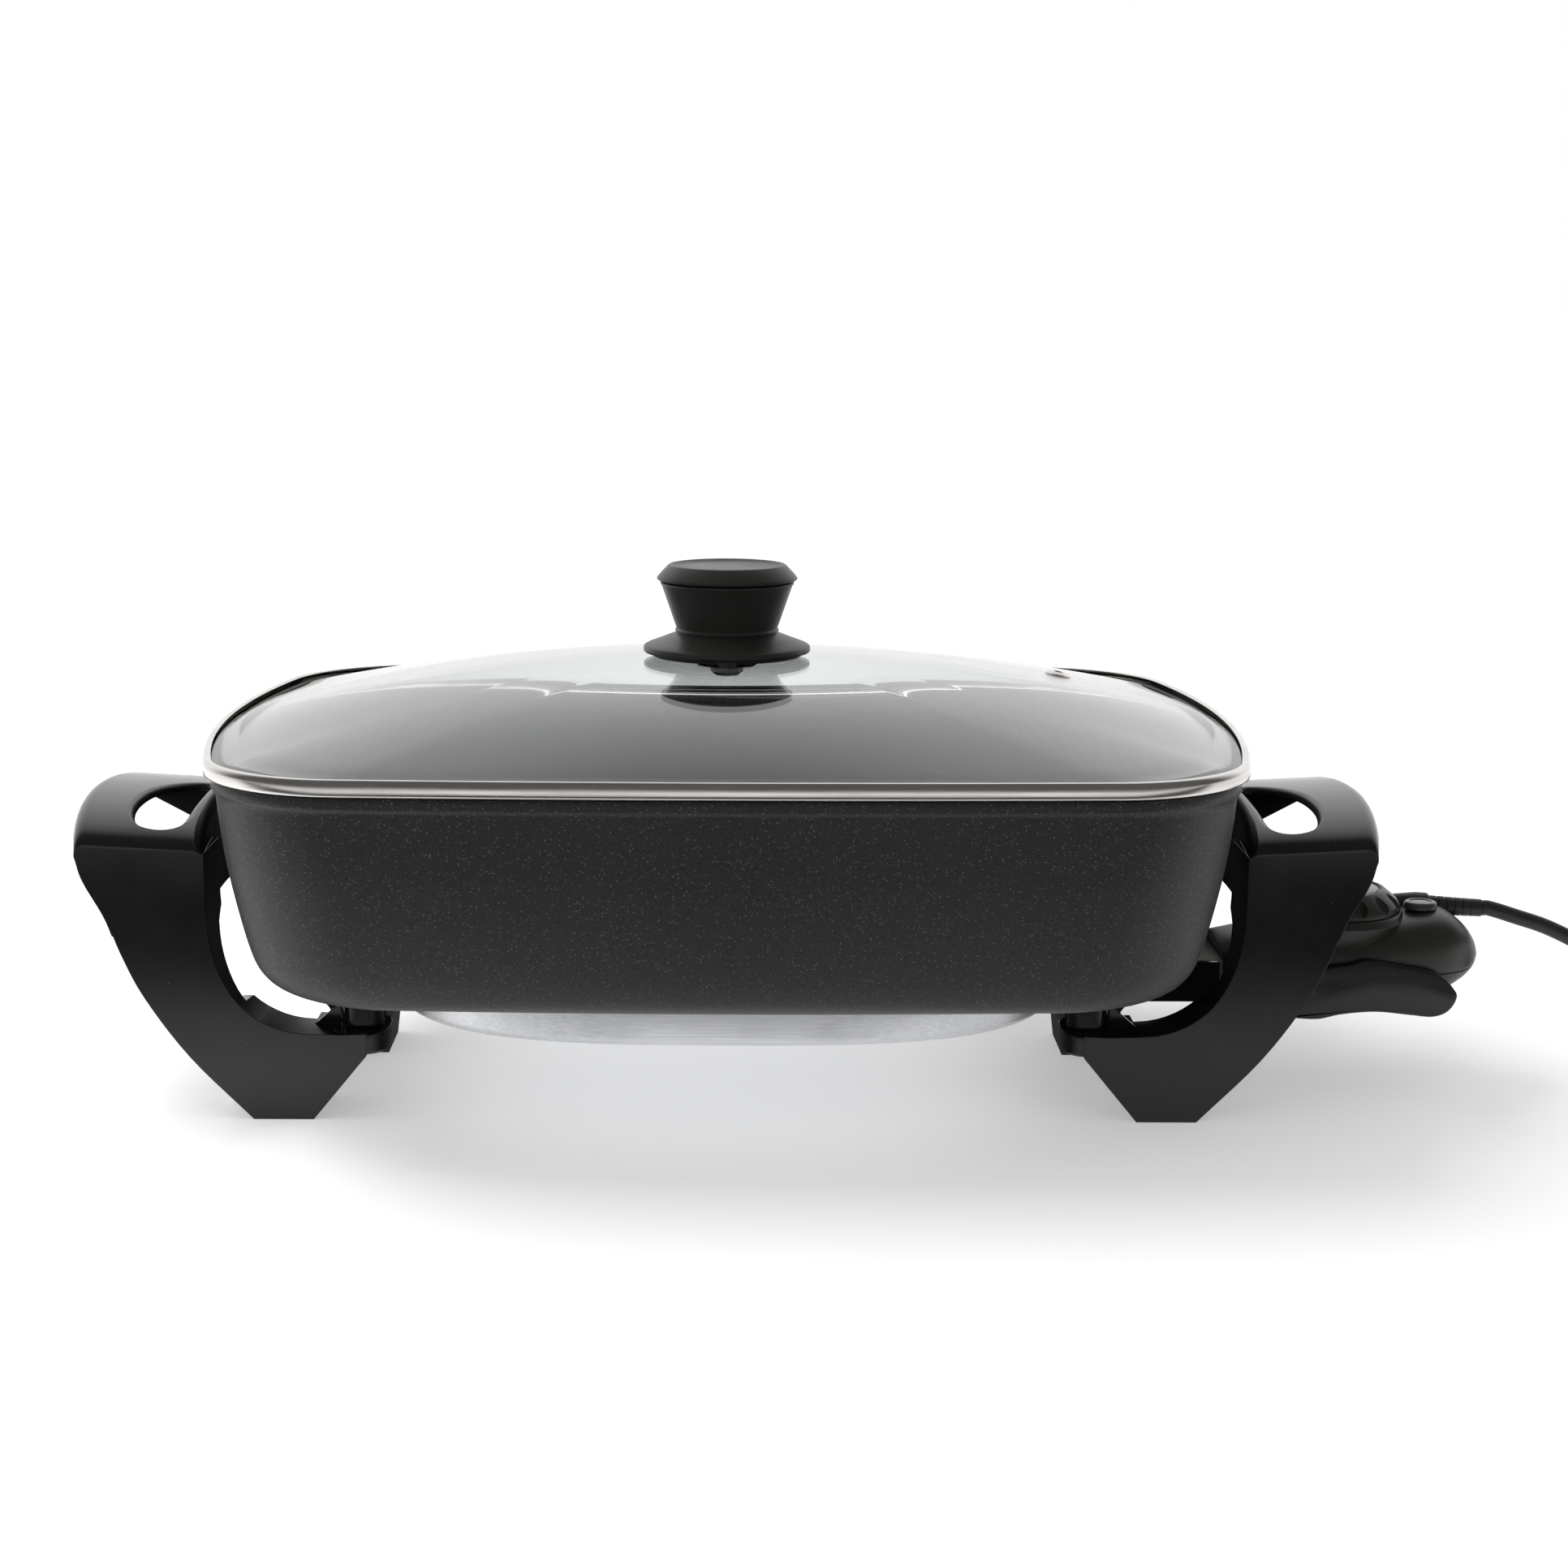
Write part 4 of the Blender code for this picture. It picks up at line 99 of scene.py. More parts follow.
def area_light(name, location, size, size_y, power):
    data = bpy.data.lights.new(name, "AREA")
    data.shape = "RECTANGLE"
    data.size = size
    data.size_y = size_y
    data.energy = power
    obj = bpy.data.objects.new(name, data)
    obj.location = location
    obj.visible_glossy = False
    link(obj)
    way = Vector(LIGHTS_AIM) - obj.location
    obj.rotation_euler = way.to_track_quat("-Z", "Y").to_euler()


class Graph:
    """The shader nodes of a material or of the world, built up from its surface shader."""

    def __init__(self, owner, shader, output="ShaderNodeOutputMaterial", **inputs):
        owner.use_nodes = True
        self.owner = owner
        self.tree = owner.node_tree
        self.tree.nodes.clear()
        self.shader = self.add(shader, **inputs)
        self.join(self.shader.outputs[0], self.add(output).inputs["Surface"])
        self.places = self.add("ShaderNodeTexCoord").outputs

    def add(self, kind, **inputs):
        node = self.tree.nodes.new(kind)
        for name, value in inputs.items():
            node.inputs[name.replace("_", " ")].default_value = value
        return node

    def join(self, value, socket):
        """Gives a socket a number, a colour or another node's output."""
        if isinstance(value, (int, float)):
            socket.default_value = value
        elif isinstance(value, tuple):
            socket.default_value = (*value, 1)
        else:
            self.tree.links.new(value, socket)

    def feed(self, value, name):
        self.join(value, self.shader.inputs[name])

    def maths(self, operation, one, two):
        node = self.add("ShaderNodeMath")
        node.operation = operation
        self.join(one, node.inputs[0])
        self.join(two, node.inputs[1])
        return node.outputs[0]

    def product(self, one, two):
        return self.maths("MULTIPLY", one, two)

    def larger(self, one, two):
        return self.maths("MAXIMUM", one, two)

    def rest(self, value):
        return self.maths("SUBTRACT", 1, value)

    def axes(self, value):
        split = self.add("ShaderNodeSeparateXYZ")
        self.join(value, split.inputs[0])
        return split.outputs

    def rays(self):
        """Whether a ray from the camera or through glass asks, and whether a glossy one does."""
        path = self.add("ShaderNodeLightPath").outputs
        seen = self.larger(path["Is Camera Ray"], path["Is Transmission Ray"])
        return seen, path["Is Glossy Ray"]

    def spread(self, value, low, high, out_low, out_high, smooth=False):
        """Maps a value from one range to another."""
        span = self.add("ShaderNodeMapRange", From_Min=low, From_Max=high, To_Min=out_low,
                        To_Max=out_high)
        span.interpolation_type = "SMOOTHSTEP" if smooth else "LINEAR"
        self.join(value, span.inputs["Value"])
        return span.outputs[0]

    def blend(self, share, one, two):
        mix = self.add("ShaderNodeMix")
        mix.data_type = "RGBA"
        for name, kind, value in (("A", "RGBA", one), ("B", "RGBA", two),
                                  ("Factor", "VALUE", share)):
            slots = [s for s in mix.inputs if s.name == name and s.type == kind]
            self.join(value, slots[0])
        return [s for s in mix.outputs if s.type == "RGBA"][0]

    def noise(self, scale, detail=2.0, rough=0.5, stretch=None):
        tex = self.add("ShaderNodeTexNoise", Scale=scale, Detail=detail, Roughness=rough)
        place = self.places["Object"]
        if stretch:
            bend = self.add("ShaderNodeMapping", Scale=stretch)
            self.join(place, bend.inputs["Vector"])
            place = bend.outputs["Vector"]
        self.join(place, tex.inputs["Vector"])
        return tex.outputs["Fac"]

    def flecks(self, scale, reach, share):
        """Small round dots in a share of the cells of a random pattern."""
        cells = self.add("ShaderNodeTexVoronoi", Scale=scale)
        self.join(self.places["Object"], cells.inputs["Vector"])
        dot = self.spread(cells.outputs["Distance"], reach * 0.5, reach, 1, 0)
        red = self.add("ShaderNodeSeparateColor")
        self.join(cells.outputs["Color"], red.inputs[0])
        return self.product(dot, self.spread(red.outputs[0], share, share * 1.02, 1, 0))

    def bump(self, height, distance, strength, under=None):
        node = self.add("ShaderNodeBump", Strength=strength, Distance=distance)
        self.join(height, node.inputs["Height"])
        if under is not None:
            self.join(under, node.inputs["Normal"])
        self.feed(node.outputs["Normal"], "Normal")
        return node.outputs["Normal"]


AMBIENT = (0.84, 0.26)     # the world's light on the object from the left and the right
DARK_SIDE = 0.10           # what gloss sees behind the camera
DARK_TURN = (0.10, 0.72)   # the directions along Y between which dark turns to white
TABLE_REACH = 30
TABLE_EDGE = (-0.36, -0.12)
TABLE_COLOUR = (0.86, 0.86, 0.86)
BEYOND_COLOUR = (0.03, 0.03, 0.03)
CARD_NEAR = (-0.70, -0.58)   # a white card lies on the table in front of the camera
CARD_FAR = (-3.00, -1.30)
CARD_LEVEL = 0.95
FLOOR_LIFT = (0.36, 0.62)   # the floor's own light near the object and far behind it
FLOOR_LIFT_Y = (0.3, 3.0)


def make_world():
    """White behind the object, plain light on it, and a dark side behind the camera."""
    world = bpy.data.worlds.new("studio")
    graph = Graph(world, "ShaderNodeBackground", "ShaderNodeOutputWorld", Color=(1, 1, 1, 1))
    seen, glossy = graph.rays()
    way = graph.axes(graph.places["Generated"])
    sheen = graph.product(glossy, graph.spread(way["Y"], *DARK_TURN, DARK_SIDE, 1, True))
    plain = graph.product(graph.rest(glossy), graph.spread(way["X"], -1, 1, *AMBIENT))
    graph.feed(graph.larger(graph.larger(seen, sheen), plain), "Strength")
    bpy.context.scene.world = world


def make_floor():
    """A white table that gloss sees only as far as its front edge."""
    mesh = bpy.data.meshes.new("floor")
    mesh.from_pydata([(x * TABLE_REACH, y * TABLE_REACH, 0)
                      for x, y in ((-1, -1), (1, -1), (1, 1), (-1, 1))], [], [(0, 1, 2, 3)])
    floor = link(bpy.data.objects.new("floor", mesh))
    mat = bpy.data.materials.new("floor")
    graph = Graph(mat, "ShaderNodeBsdfPrincipled", Roughness=0.7, Specular_IOR_Level=0.2)
    seen, glossy = graph.rays()
    y = graph.axes(graph.places["Object"])["Y"]
    card = graph.product(graph.spread(y, *CARD_NEAR, CARD_LEVEL, 0),
                         graph.spread(y, *CARD_FAR, 0, 1))
    table = graph.larger(graph.spread(y, *TABLE_EDGE, 0, 1, True), card)
    shown = graph.rest(graph.product(glossy, graph.rest(table)))
    lit = graph.product(graph.larger(seen, glossy), shown)
    lift = graph.spread(y, *FLOOR_LIFT_Y, *FLOOR_LIFT)
    graph.feed(graph.blend(shown, BEYOND_COLOUR, TABLE_COLOUR), "Base Color")
    graph.feed((1, 1, 1), "Emission Color")
    graph.feed(graph.product(lit, lift), "Emission Strength")
    mesh.materials.append(mat)


make_camera()
make_world()
make_floor()
area_light("key", (-0.9, 0.25, 1.5), 1.1, 0.9, 19)
area_light("fill", (1.2, -1.2, 1.1), 1.6, 1.2, 1)


# Materials

EDGE_RADIUS = 0.0006
SHADED_INSIDE_TURN = (-0.75, -0.35)   # faces turned this far towards the pan lose their specular as painted shade, and turn rough
INSIDE_ROUGHNESS = 0.75
MID_NOISE = (0.3, 0.7)     # where most of a noise's values lie


def new_material(name, colour, roughness, metallic=0.0):
    return Graph(bpy.data.materials.new(name), "ShaderNodeBsdfPrincipled",
                 Base_Color=(*colour, 1), Roughness=roughness, Metallic=metallic)


def nonstick():
    graph = new_material("nonstick_coat", (0.030, 0.030, 0.033), 0.5)
    cloud = graph.spread(graph.noise(9, 3), *MID_NOISE, 0, 1)
    base = graph.blend(cloud, (0.0125, 0.0125, 0.0150), (0.0175, 0.0175, 0.0205))
    fine = graph.blend(graph.flecks(1900, 0.46, 0.50), base, (0.042, 0.041, 0.050))
    graph.feed(graph.blend(graph.flecks(1000, 0.34, 0.26), fine, (0.11, 0.106, 0.125)),
               "Base Color")
    grain = graph.noise(1400, 3, 0.6)
    graph.feed(graph.spread(grain, *MID_NOISE, 0.38, 0.56), "Roughness")
    graph.bump(grain, 0.00012, 0.5)
    return graph.owner


def moulded(name, colour, roughness, ripple, grain_scale=0.0, grain_depth=0.0,
            matt_and_shaded_inside=False):
    """Moulded phenolic plastic: a soft ripple, some dust, a grain where it is matt, and where asked
    painted shade on the faces turned towards the pan.
    """
    graph = new_material(name, colour, roughness)
    rough = graph.spread(graph.noise(26, 4, 0.6), 0.3, 0.75, roughness * 0.85, roughness * 1.35)
    if matt_and_shaded_inside:
        # faces turned towards the pan lose most of their specular as painted shade between the
        # moulding and the pan, and turn rough
        normal = graph.axes(graph.add("ShaderNodeNewGeometry").outputs["Normal"])
        side = graph.maths("SIGN", graph.axes(graph.places["Object"])["X"], 0)
        outward = graph.product(normal["X"], side)
        graph.feed(graph.spread(outward, *SHADED_INSIDE_TURN, 0.08, 0.5), "Specular IOR Level")
        rough = graph.larger(rough, graph.spread(outward, *SHADED_INSIDE_TURN, INSIDE_ROUGHNESS, 0))
    graph.feed(rough, "Roughness")
    graph.feed(graph.blend(graph.flecks(240, 0.05, 0.35), colour, (0.16, 0.16, 0.15)),
               "Base Color")
    edge = graph.add("ShaderNodeBevel", Radius=EDGE_RADIUS)
    edge.samples = 4
    wave = graph.bump(graph.noise(34, 1), ripple, 0.6, edge.outputs["Normal"])
    if grain_depth:
        graph.bump(graph.noise(grain_scale, 3, 0.65), grain_depth, 0.6, wave)
    return graph.owner


def metal(name, colour, roughness, lines, line_depth=0.00002, cloud=0.3):
    """A metal with fine lines along one direction, given as a stretch of the noise."""
    graph = new_material(name, colour, roughness, 1.0)
    graph.feed(graph.spread(graph.noise(30, 3), *MID_NOISE, roughness * (1 - cloud),
                            roughness * (1 + cloud)), "Roughness")
    fine = graph.noise(1, 3, 0.6, lines)
    dark = tuple(c * 0.82 for c in colour)
    graph.feed(graph.blend(graph.spread(fine, *MID_NOISE, 0, 1), dark, colour), "Base Color")
    graph.bump(fine, line_depth, 0.5)
    return graph.owner


def glass(name, tint):
    """Clear glass, a little uneven and smeared."""
    graph = new_material(name, tint, 0.0)
    graph.feed(1.0, "Transmission Weight")
    graph.feed(1.5, "IOR")
    graph.feed(graph.spread(graph.noise(16, 3), 0.45, 0.75, 0, 0.02), "Roughness")
    graph.bump(graph.noise(7, 1), 0.0003, 0.25)
    return graph.owner


def ceramic():
    graph = new_material("ceramic_bead", (0.80, 0.78, 0.72), 0.6)
    grain = graph.noise(700, 4)
    graph.feed(graph.blend(grain, (0.70, 0.67, 0.60), (0.86, 0.84, 0.79)), "Base Color")
    graph.bump(grain, 0.0001, 0.4)
    return graph.owner


def rubber(name, colour, roughness):
    graph = new_material(name, colour, roughness)
    grain = graph.noise(900, 3)
    graph.feed(graph.spread(grain, *MID_NOISE, roughness - 0.06, roughness + 0.1), "Roughness")
    lighter = tuple(c * 1.5 for c in colour)
    graph.feed(graph.blend(graph.noise(40, 3), colour, lighter), "Base Color")
    graph.bump(grain, 0.00006, 0.4)
    return graph.owner


# the bracket moulding carries painted shade, as lost specular, on its faces turned towards the pan
GLOSS = moulded("gloss_phenolic_moulding", (0.007, 0.007, 0.007), 0.16, 0.00025,
                matt_and_shaded_inside=True)
KNOB = moulded("knob_phenolic", (0.017, 0.017, 0.015), 0.34, 0.0001, 1600, 0.00005)
GRIP = moulded("grip_phenolic", (0.006, 0.007, 0.007), 0.22, 0.0002)
BAND = metal("band_steel", (0.84, 0.81, 0.78), 0.20, (30, 30, 900), 0.000004, 0.2)
CORD = rubber("cord_jacket", (0.014, 0.014, 0.013), 0.42)
FINISH = {
    "nonstick": nonstick(),
    "cast_aluminium": metal("cast_plate", (0.92, 0.93, 0.95), 0.42, (30, 1400, 1400), 0.00004),
    "gloss_phenolic": GLOSS,
    "matte_phenolic": moulded("housing_phenolic", (0.021, 0.021, 0.018), 0.36, 0.0002, 1500,
                              0.00006),
    "tempered_glass": glass("lid_glass_clear", (0.96, 0.99, 0.975)),
    "steel": metal("screw_steel", (0.66, 0.65, 0.63), 0.28, (400, 400, 400)),
    "brass": metal("brass_contact", (0.78, 0.58, 0.27), 0.28, (300, 300, 300)),
    "ceramic": ceramic(),
    "cord_rubber": CORD,
    "silicone": rubber("silicone_seal", (0.016, 0.016, 0.016), 0.5),
    "pale_plastic": moulded("dial_face", (0.42, 0.43, 0.40), 0.30, 0.00005, 900, 0.00003),
    "lamp_lens": moulded("smoked_lens", (0.05, 0.045, 0.04), 0.12, 0.00004),
    "neon_glass": glass("neon_tube", (0.85, 0.55, 0.40)),
}

for part in frame["record"]["subparts"]:
    node = NODES[part["node"]]
    node.data.materials.clear()
    node.data.materials.append(FINISH[part["material_slot"]])


# Shape helpers

def mesh_object(name, bm):
    bmesh.ops.recalc_face_normals(bm, faces=bm.faces)
    mesh = bpy.data.meshes.new(name)
    bm.to_mesh(mesh)
    bm.free()
    return link(bpy.data.objects.new(name, mesh))


def loft(name, rings, closed=False):
    """Skins a row of rings, capped at both ends or closed to a loop."""
    bm = bmesh.new()
    loops = [[bm.verts.new(point) for point in ring] for ring in rings]
    pairs = list(zip(loops, loops[1:]))
    if closed:
        pairs.append((loops[-1], loops[0]))
    for low, high in pairs:
        for i in range(len(low)):
            j = (i + 1) % len(low)
            bm.faces.new((low[i], low[j], high[j], high[i]))
    if not closed:
        bm.faces.new(list(reversed(loops[0])))
        bm.faces.new(loops[-1])
    return mesh_object(name, bm)


def mm(z, *pairs):
    """Pairs of millimetres as metres, the second of each counted up from a height z."""
    return [(across / 1000, z + up / 1000) for across, up in pairs]


def turned(name, profile, location=(0, 0, 0), sides=96):
    """A profile of (radius, height) turned about Z."""
    mesh = bpy.data.meshes.new(name)
    verts = [(radius, 0, height) for radius, height in profile]
    edges = [(i, i + 1) for i in range(len(verts) - 1)]
    if profile[0][0] > 0 and profile[-1][0] > 0:
        edges.append((len(verts) - 1, 0))
    mesh.from_pydata(verts, edges, [])
    obj = link(bpy.data.objects.new(name, mesh))
    mod = obj.modifiers.new("turn", "SCREW")
    mod.steps = sides
    mod.render_steps = sides
    mod.use_merge_vertices = True
    mod.merge_threshold = MERGE
    apply(obj)
    obj.data.transform(Matrix.Translation(location))
    return obj


def box(name, low, high):
    bm = bmesh.new()
    bmesh.ops.create_cube(bm, size=1)
    bmesh.ops.scale(bm, verts=bm.verts, vec=[b - a for a, b in zip(low, high)])
    bmesh.ops.translate(bm, verts=bm.verts, vec=[(a + b) / 2 for a, b in zip(low, high)])
    return mesh_object(name, bm)


def cylinder(name, start, end, radius, sides=32):
    start = Vector(start)
    end = Vector(end)
    along = end - start
    bm = bmesh.new()
    bmesh.ops.create_cone(bm, cap_ends=True, segments=sides, radius1=radius, radius2=radius,
                          depth=along.length)
    turn = Vector((0, 0, 1)).rotation_difference(along.normalized()).to_matrix()
    bmesh.ops.rotate(bm, verts=bm.verts, matrix=turn)
    bmesh.ops.translate(bm, verts=bm.verts, vec=(start + end) / 2)
    return mesh_object(name, bm)


def apply(obj):
    """Applies an object's modifiers to its mesh."""
    bpy.context.view_layer.update()
    graph = bpy.context.evaluated_depsgraph_get()
    mesh = bpy.data.meshes.new_from_object(obj.evaluated_get(graph))
    obj.modifiers.clear()
    obj.data = mesh
    bm = bmesh.new()
    bm.from_mesh(mesh)
    bmesh.ops.remove_doubles(bm, verts=bm.verts, dist=MERGE)
    bmesh.ops.recalc_face_normals(bm, faces=bm.faces)
    bm.to_mesh(mesh)
    bm.free()


def cut(obj, tool, operation="DIFFERENCE"):
    """Cuts, joins or keeps with another solid, which is used up."""
    mod = obj.modifiers.new("shape", "BOOLEAN")
    mod.operation = operation
    mod.solver = "EXACT"
    mod.object = tool
    apply(obj)
    bpy.data.objects.remove(tool, do_unlink=True)


def place(obj, body, slot, *nodes, mat=None, sharp=40):
    """Shifts a piece into the frame and lets it stand for its CAD nodes."""
    obj.data.transform(Matrix.Translation((PAN_SHIFT, 0, 0)))
    obj.data.materials.clear()
    obj.data.materials.append(mat or FINISH[slot])
    obj.data.shade_smooth()
    obj.data.set_sharp_from_angle(angle=math.radians(sharp))
    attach(obj, body)
    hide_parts(*nodes)


def smooth_line(points, steps):
    """Points along a smooth curve through the given ones."""
    spots = [Vector(p) for p in points]
    spots = [spots[0] * 2 - spots[1]] + spots + [spots[-1] * 2 - spots[-2]]
    line = []
    for a, b, c, d in zip(spots, spots[1:], spots[2:], spots[3:]):
        for i in range(steps):
            t = i / steps
            line.append(0.5 * (2 * b + (c - a) * t + (2 * a - 5 * b + 4 * c - d) * t ** 2
                               + (3 * b - a - 3 * c + d) * t ** 3))
    line.append(spots[-2])
    return line


# Cord: one free flex from the strain relief to the plug

CORD_DIAMETER = 0.0064
RELIEF_X = 0.2880
RELIEF_Y = 0.0100
RELIEF_Z = 0.0709
RELIEF_TILT = math.radians(3)
RELIEF_LENGTH = 0.0240
CORD_POINTS = (
    (0.3260, 0.0100, 0.0662), (0.3420, 0.0100, 0.0606), (0.3610, 0.0100, 0.0500),
    (0.3780, 0.0100, 0.0330), (0.3930, 0.0098, 0.0170), (0.4080, 0.0092, 0.0080),
)
COIL_X = 0.4330
COIL_RADIUS = 0.0350
COIL_TURNS = 3.25
COIL_LAYERS = 2
COIL_SPACE = 0.0007
COIL_STEPS = 48
COIL_CLIMB = 0.25
TIE_THICK = 0.0008
TAIL_LENGTH = 0.0440
PLUG_HALF_HEIGHT = 0.0080


def relief_frame():
    turn = Matrix.Rotation(math.pi / 2 + RELIEF_TILT, 4, "Y")
    return Matrix.Translation((RELIEF_X, RELIEF_Y, RELIEF_Z)) @ turn


def coil_point(turn):
    """A point of the piled loops: in along the lower layer, out along the upper one."""
    pitch = CORD_DIAMETER + COIL_SPACE
    middle = COIL_TURNS / COIL_LAYERS
    away = turn - middle
    inner = COIL_RADIUS - pitch * COIL_TURNS / 4
    climb = min(max(away + COIL_CLIMB, 0) / (2 * COIL_CLIMB), 1)
    climb = climb * climb * (3 - 2 * climb)
    bend = COIL_CLIMB / 2 + away * away / (2 * COIL_CLIMB)
    spread_out = abs(away) if abs(away) > COIL_CLIMB else bend
    radius = inner + pitch * spread_out
    angle = 2 * math.pi * turn - math.pi / 2
    low = TIE_THICK + SEAT_GAP * 2 + CORD_DIAMETER / 2
    centre_y = RELIEF_Y + inner + pitch * middle
    return Vector((COIL_X + radius * math.cos(angle), centre_y + radius * math.sin(angle),
                   low + pitch * climb))


def cord_line():
    start = relief_frame() @ Vector((0, 0, RELIEF_LENGTH + SEAT_GAP))
    way = (relief_frame().to_3x3() @ Vector((0, 0, 1))).normalized()
    count = round(COIL_TURNS * COIL_STEPS)
    coil = [coil_point(COIL_TURNS * i / count) for i in range(count + 1)]
    meet = coil[0] - Vector((CORD_DIAMETER + SEAT_GAP, 0, 0))
    route = [start, start + way * CORD_DIAMETER / 2] + [Vector(p) for p in CORD_POINTS]
    route += [meet - Vector((CORD_DIAMETER, 0, 0)), meet]
    line = smooth_line(route, 6) + coil
    end_angle = 2 * math.pi * COIL_TURNS
    ahead = Vector((math.cos(end_angle), math.sin(end_angle), 0))
    tail_start = coil[-1] + ahead * (CORD_DIAMETER + SEAT_GAP)
    tail_end = tail_start + ahead * TAIL_LENGTH
    tail_end.z = PLUG_HALF_HEIGHT + SEAT_GAP
    tail = [tail_start, tail_start + ahead * CORD_DIAMETER, tail_start.lerp(tail_end, 0.5),
            tail_end - ahead * CORD_DIAMETER, tail_end]
    return line + smooth_line(tail, 6)


def make_cord():
    points = [point + Vector((PAN_SHIFT, 0, 0)) for point in cord_line()]
    data = bpy.data.curves.new("cord_flex", "CURVE")
    data.dimensions = "3D"
    data.bevel_depth = CORD_DIAMETER / 2
    data.bevel_resolution = 6
    data.use_fill_caps = True
    spline = data.splines.new("POLY")
    spline.points.add(len(points) - 1)
    for spot, point in zip(spline.points, points):
        spot.co = (*point, 1)
    spline.use_smooth = True
    data.materials.append(CORD)
    obj = link(bpy.data.objects.new("cord_flex", data))
    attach(obj, "controller")
    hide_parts("cord", "cord_coil", "cord_tail")


make_cord()


# Plan of the pan and the lid

PAN_LENGTH = 0.4010
PAN_WIDTH = 0.2990
PAN_CORNER = 0.0400
SIDE_BOW = 0.0210
FRONT_BOW = 0.0050
CORNER_STEPS = 14
SIDE_STEPS = 14
LID_OVERHANG = 0.0025


def tidy(points):
    """A closed outline without points that fall together."""
    kept = []
    for point in points:
        if not kept or (Vector(point) - Vector(kept[-1])).length > MERGE:
            kept.append(point)
    if (Vector(kept[0]) - Vector(kept[-1])).length <= MERGE:
        kept.pop()
    return kept


def bowed_outline(half_x, half_y, corner):
    """A rounded rectangle whose four sides bulge, as points round the plan."""
    flat_x = half_x - SIDE_BOW
    flat_y = half_y - FRONT_BOW
    quarter = [(flat_x, (flat_y - corner) * i / SIDE_STEPS) for i in range(SIDE_STEPS)]
    for i in range(CORNER_STEPS + 1):
        angle = math.pi / 2 * i / CORNER_STEPS
        quarter.append((flat_x - corner + corner * math.cos(angle),
                        flat_y - corner + corner * math.sin(angle)))
    for i in range(1, SIDE_STEPS):
        quarter.append(((flat_x - corner) * (1 - i / SIDE_STEPS), flat_y))
    bowed = [(x + SIDE_BOW * (1 - (y / flat_y) ** 2), y + FRONT_BOW * (1 - (x / flat_x) ** 2))
             for x, y in quarter]
    points = []
    for sign_x, sign_y in ((1, 1), (-1, 1), (-1, -1), (1, -1)):
        even = sign_x == sign_y
        spots = bowed if even else list(reversed(bowed))
        points += [(sign_x * x, sign_y * y) for x, y in spots]
        if even:
            points.append((0, sign_y * half_y))
    return tidy(points)


def pan_ring(inward, z):
    outline = bowed_outline(PAN_LENGTH / 2 - inward, PAN_WIDTH / 2 - inward,
                            PAN_CORNER - inward / 2)
    return [(x, y, z) for x, y in outline]


def lid_ring(inward, z):
    return pan_ring(inward - LID_OVERHANG, z)


def superellipse(half_x, half_y, power, steps):
    def squared(part):
        return math.copysign(abs(part) ** (2 / power), part)

    angles = [2 * math.pi * i / steps for i in range(steps)]
    return [(half_x * squared(math.cos(a)), half_y * squared(math.sin(a))) for a in angles]


# Pan

PAN_Z = 0.0571
PAN_WALL = 0.0030
PAN_FLAT = 0.0480          # how far in from the rim the flat of the bottom starts
# in mm: height above the underside, and how far the wall stands in from the rim
PAN_PROFILE = (
    (0, 44.0), (0.2, 34.5), (1.2, 29.0), (4.0, 22.0), (8.0, 17.0), (13.5, 13.4), (20.0, 11.2),
    (29.0, 9.0), (42.0, 6.3), (55.0, 4.0), (68.0, 2.4), (78.0, 1.5),
)
# in mm: how far in from the rim, and height above its top
PAN_RIM = ((1.4, -6.0), (1.0, -5.2), (0.3, -4.6), (0, -3.8), (0, -1.2), (0.3, -0.4), (1.1, 0),
           (2.4, 0), (3.0, -0.5), (3.3, -2.0))


def make_pan():
    outer = smooth_line([(inward, z, 0) for z, inward in mm(0, *PAN_PROFILE)], 4)
    rings = [pan_ring(p.x, PAN_Z + p.y) for p in outer]
    rings += [pan_ring(inward, z) for inward, z in mm(PAN_RIM_Z, *PAN_RIM)]
    for p in reversed(outer[1:]):
        rings.append(pan_ring(p.x + PAN_WALL, PAN_Z + max(p.y, PAN_WALL)))
    rings.append(pan_ring(PAN_FLAT, PAN_Z + PAN_WALL))
    kept = [rings[0]]
    for ring in rings[1:]:
        if (Vector(ring[0]) - Vector(kept[-1][0])).length > LEAST_RING_STEP:
            kept.append(ring)
    place(loft("pan_shell", kept), "base", "nonstick", "pan", sharp=60)


# Heating base

PLATE_Z = 0.0421
PLATE_HALF_X = 0.1310
PLATE_HALF_Y = 0.1100
PLATE_POWER = 3.0
PLATE_STEPS = 192
PLATE_WAYS_END = 0.14
# inner end, y and radius of the ways for the element's two pins and for the probe
PLATE_WAYS = ((0.10, -0.0140, 0.0039), (0.10, 0.0140, 0.0039), (0.0897, 0, 0.0052))
GUARD_SCREW = (0.1220, 0.0205)


def make_plate():
    rings = []
    for inward, z in mm(PLATE_Z, (40.0, 1.2), (38.0, 1.2), (37.2, 0.4), (35.0, 0), (6.0, 0),
                        (3.4, 0.4), (1.4, 1.4), (0.3, 3.0), (0, 4.2), (0, 14.7)):
        oval = superellipse(PLATE_HALF_X - inward, PLATE_HALF_Y - inward, PLATE_POWER, PLATE_STEPS)
        rings.append([(x, y, z) for x, y in oval])
    plate = loft("heating_base", rings)
    for start, y, radius in PLATE_WAYS:
        cut(plate, cylinder("plate_way", (start, y, AXIS_Z), (PLATE_WAYS_END, y, AXIS_Z), radius))
    x, y = GUARD_SCREW
    for spot in (-y, y):
        cut(plate, cylinder("guard_tap", (x, spot, 0.03), (x, spot, 0.0506), 0.0022))
    place(plate, "base", "cast_aluminium", "heat_plate")


# Lid

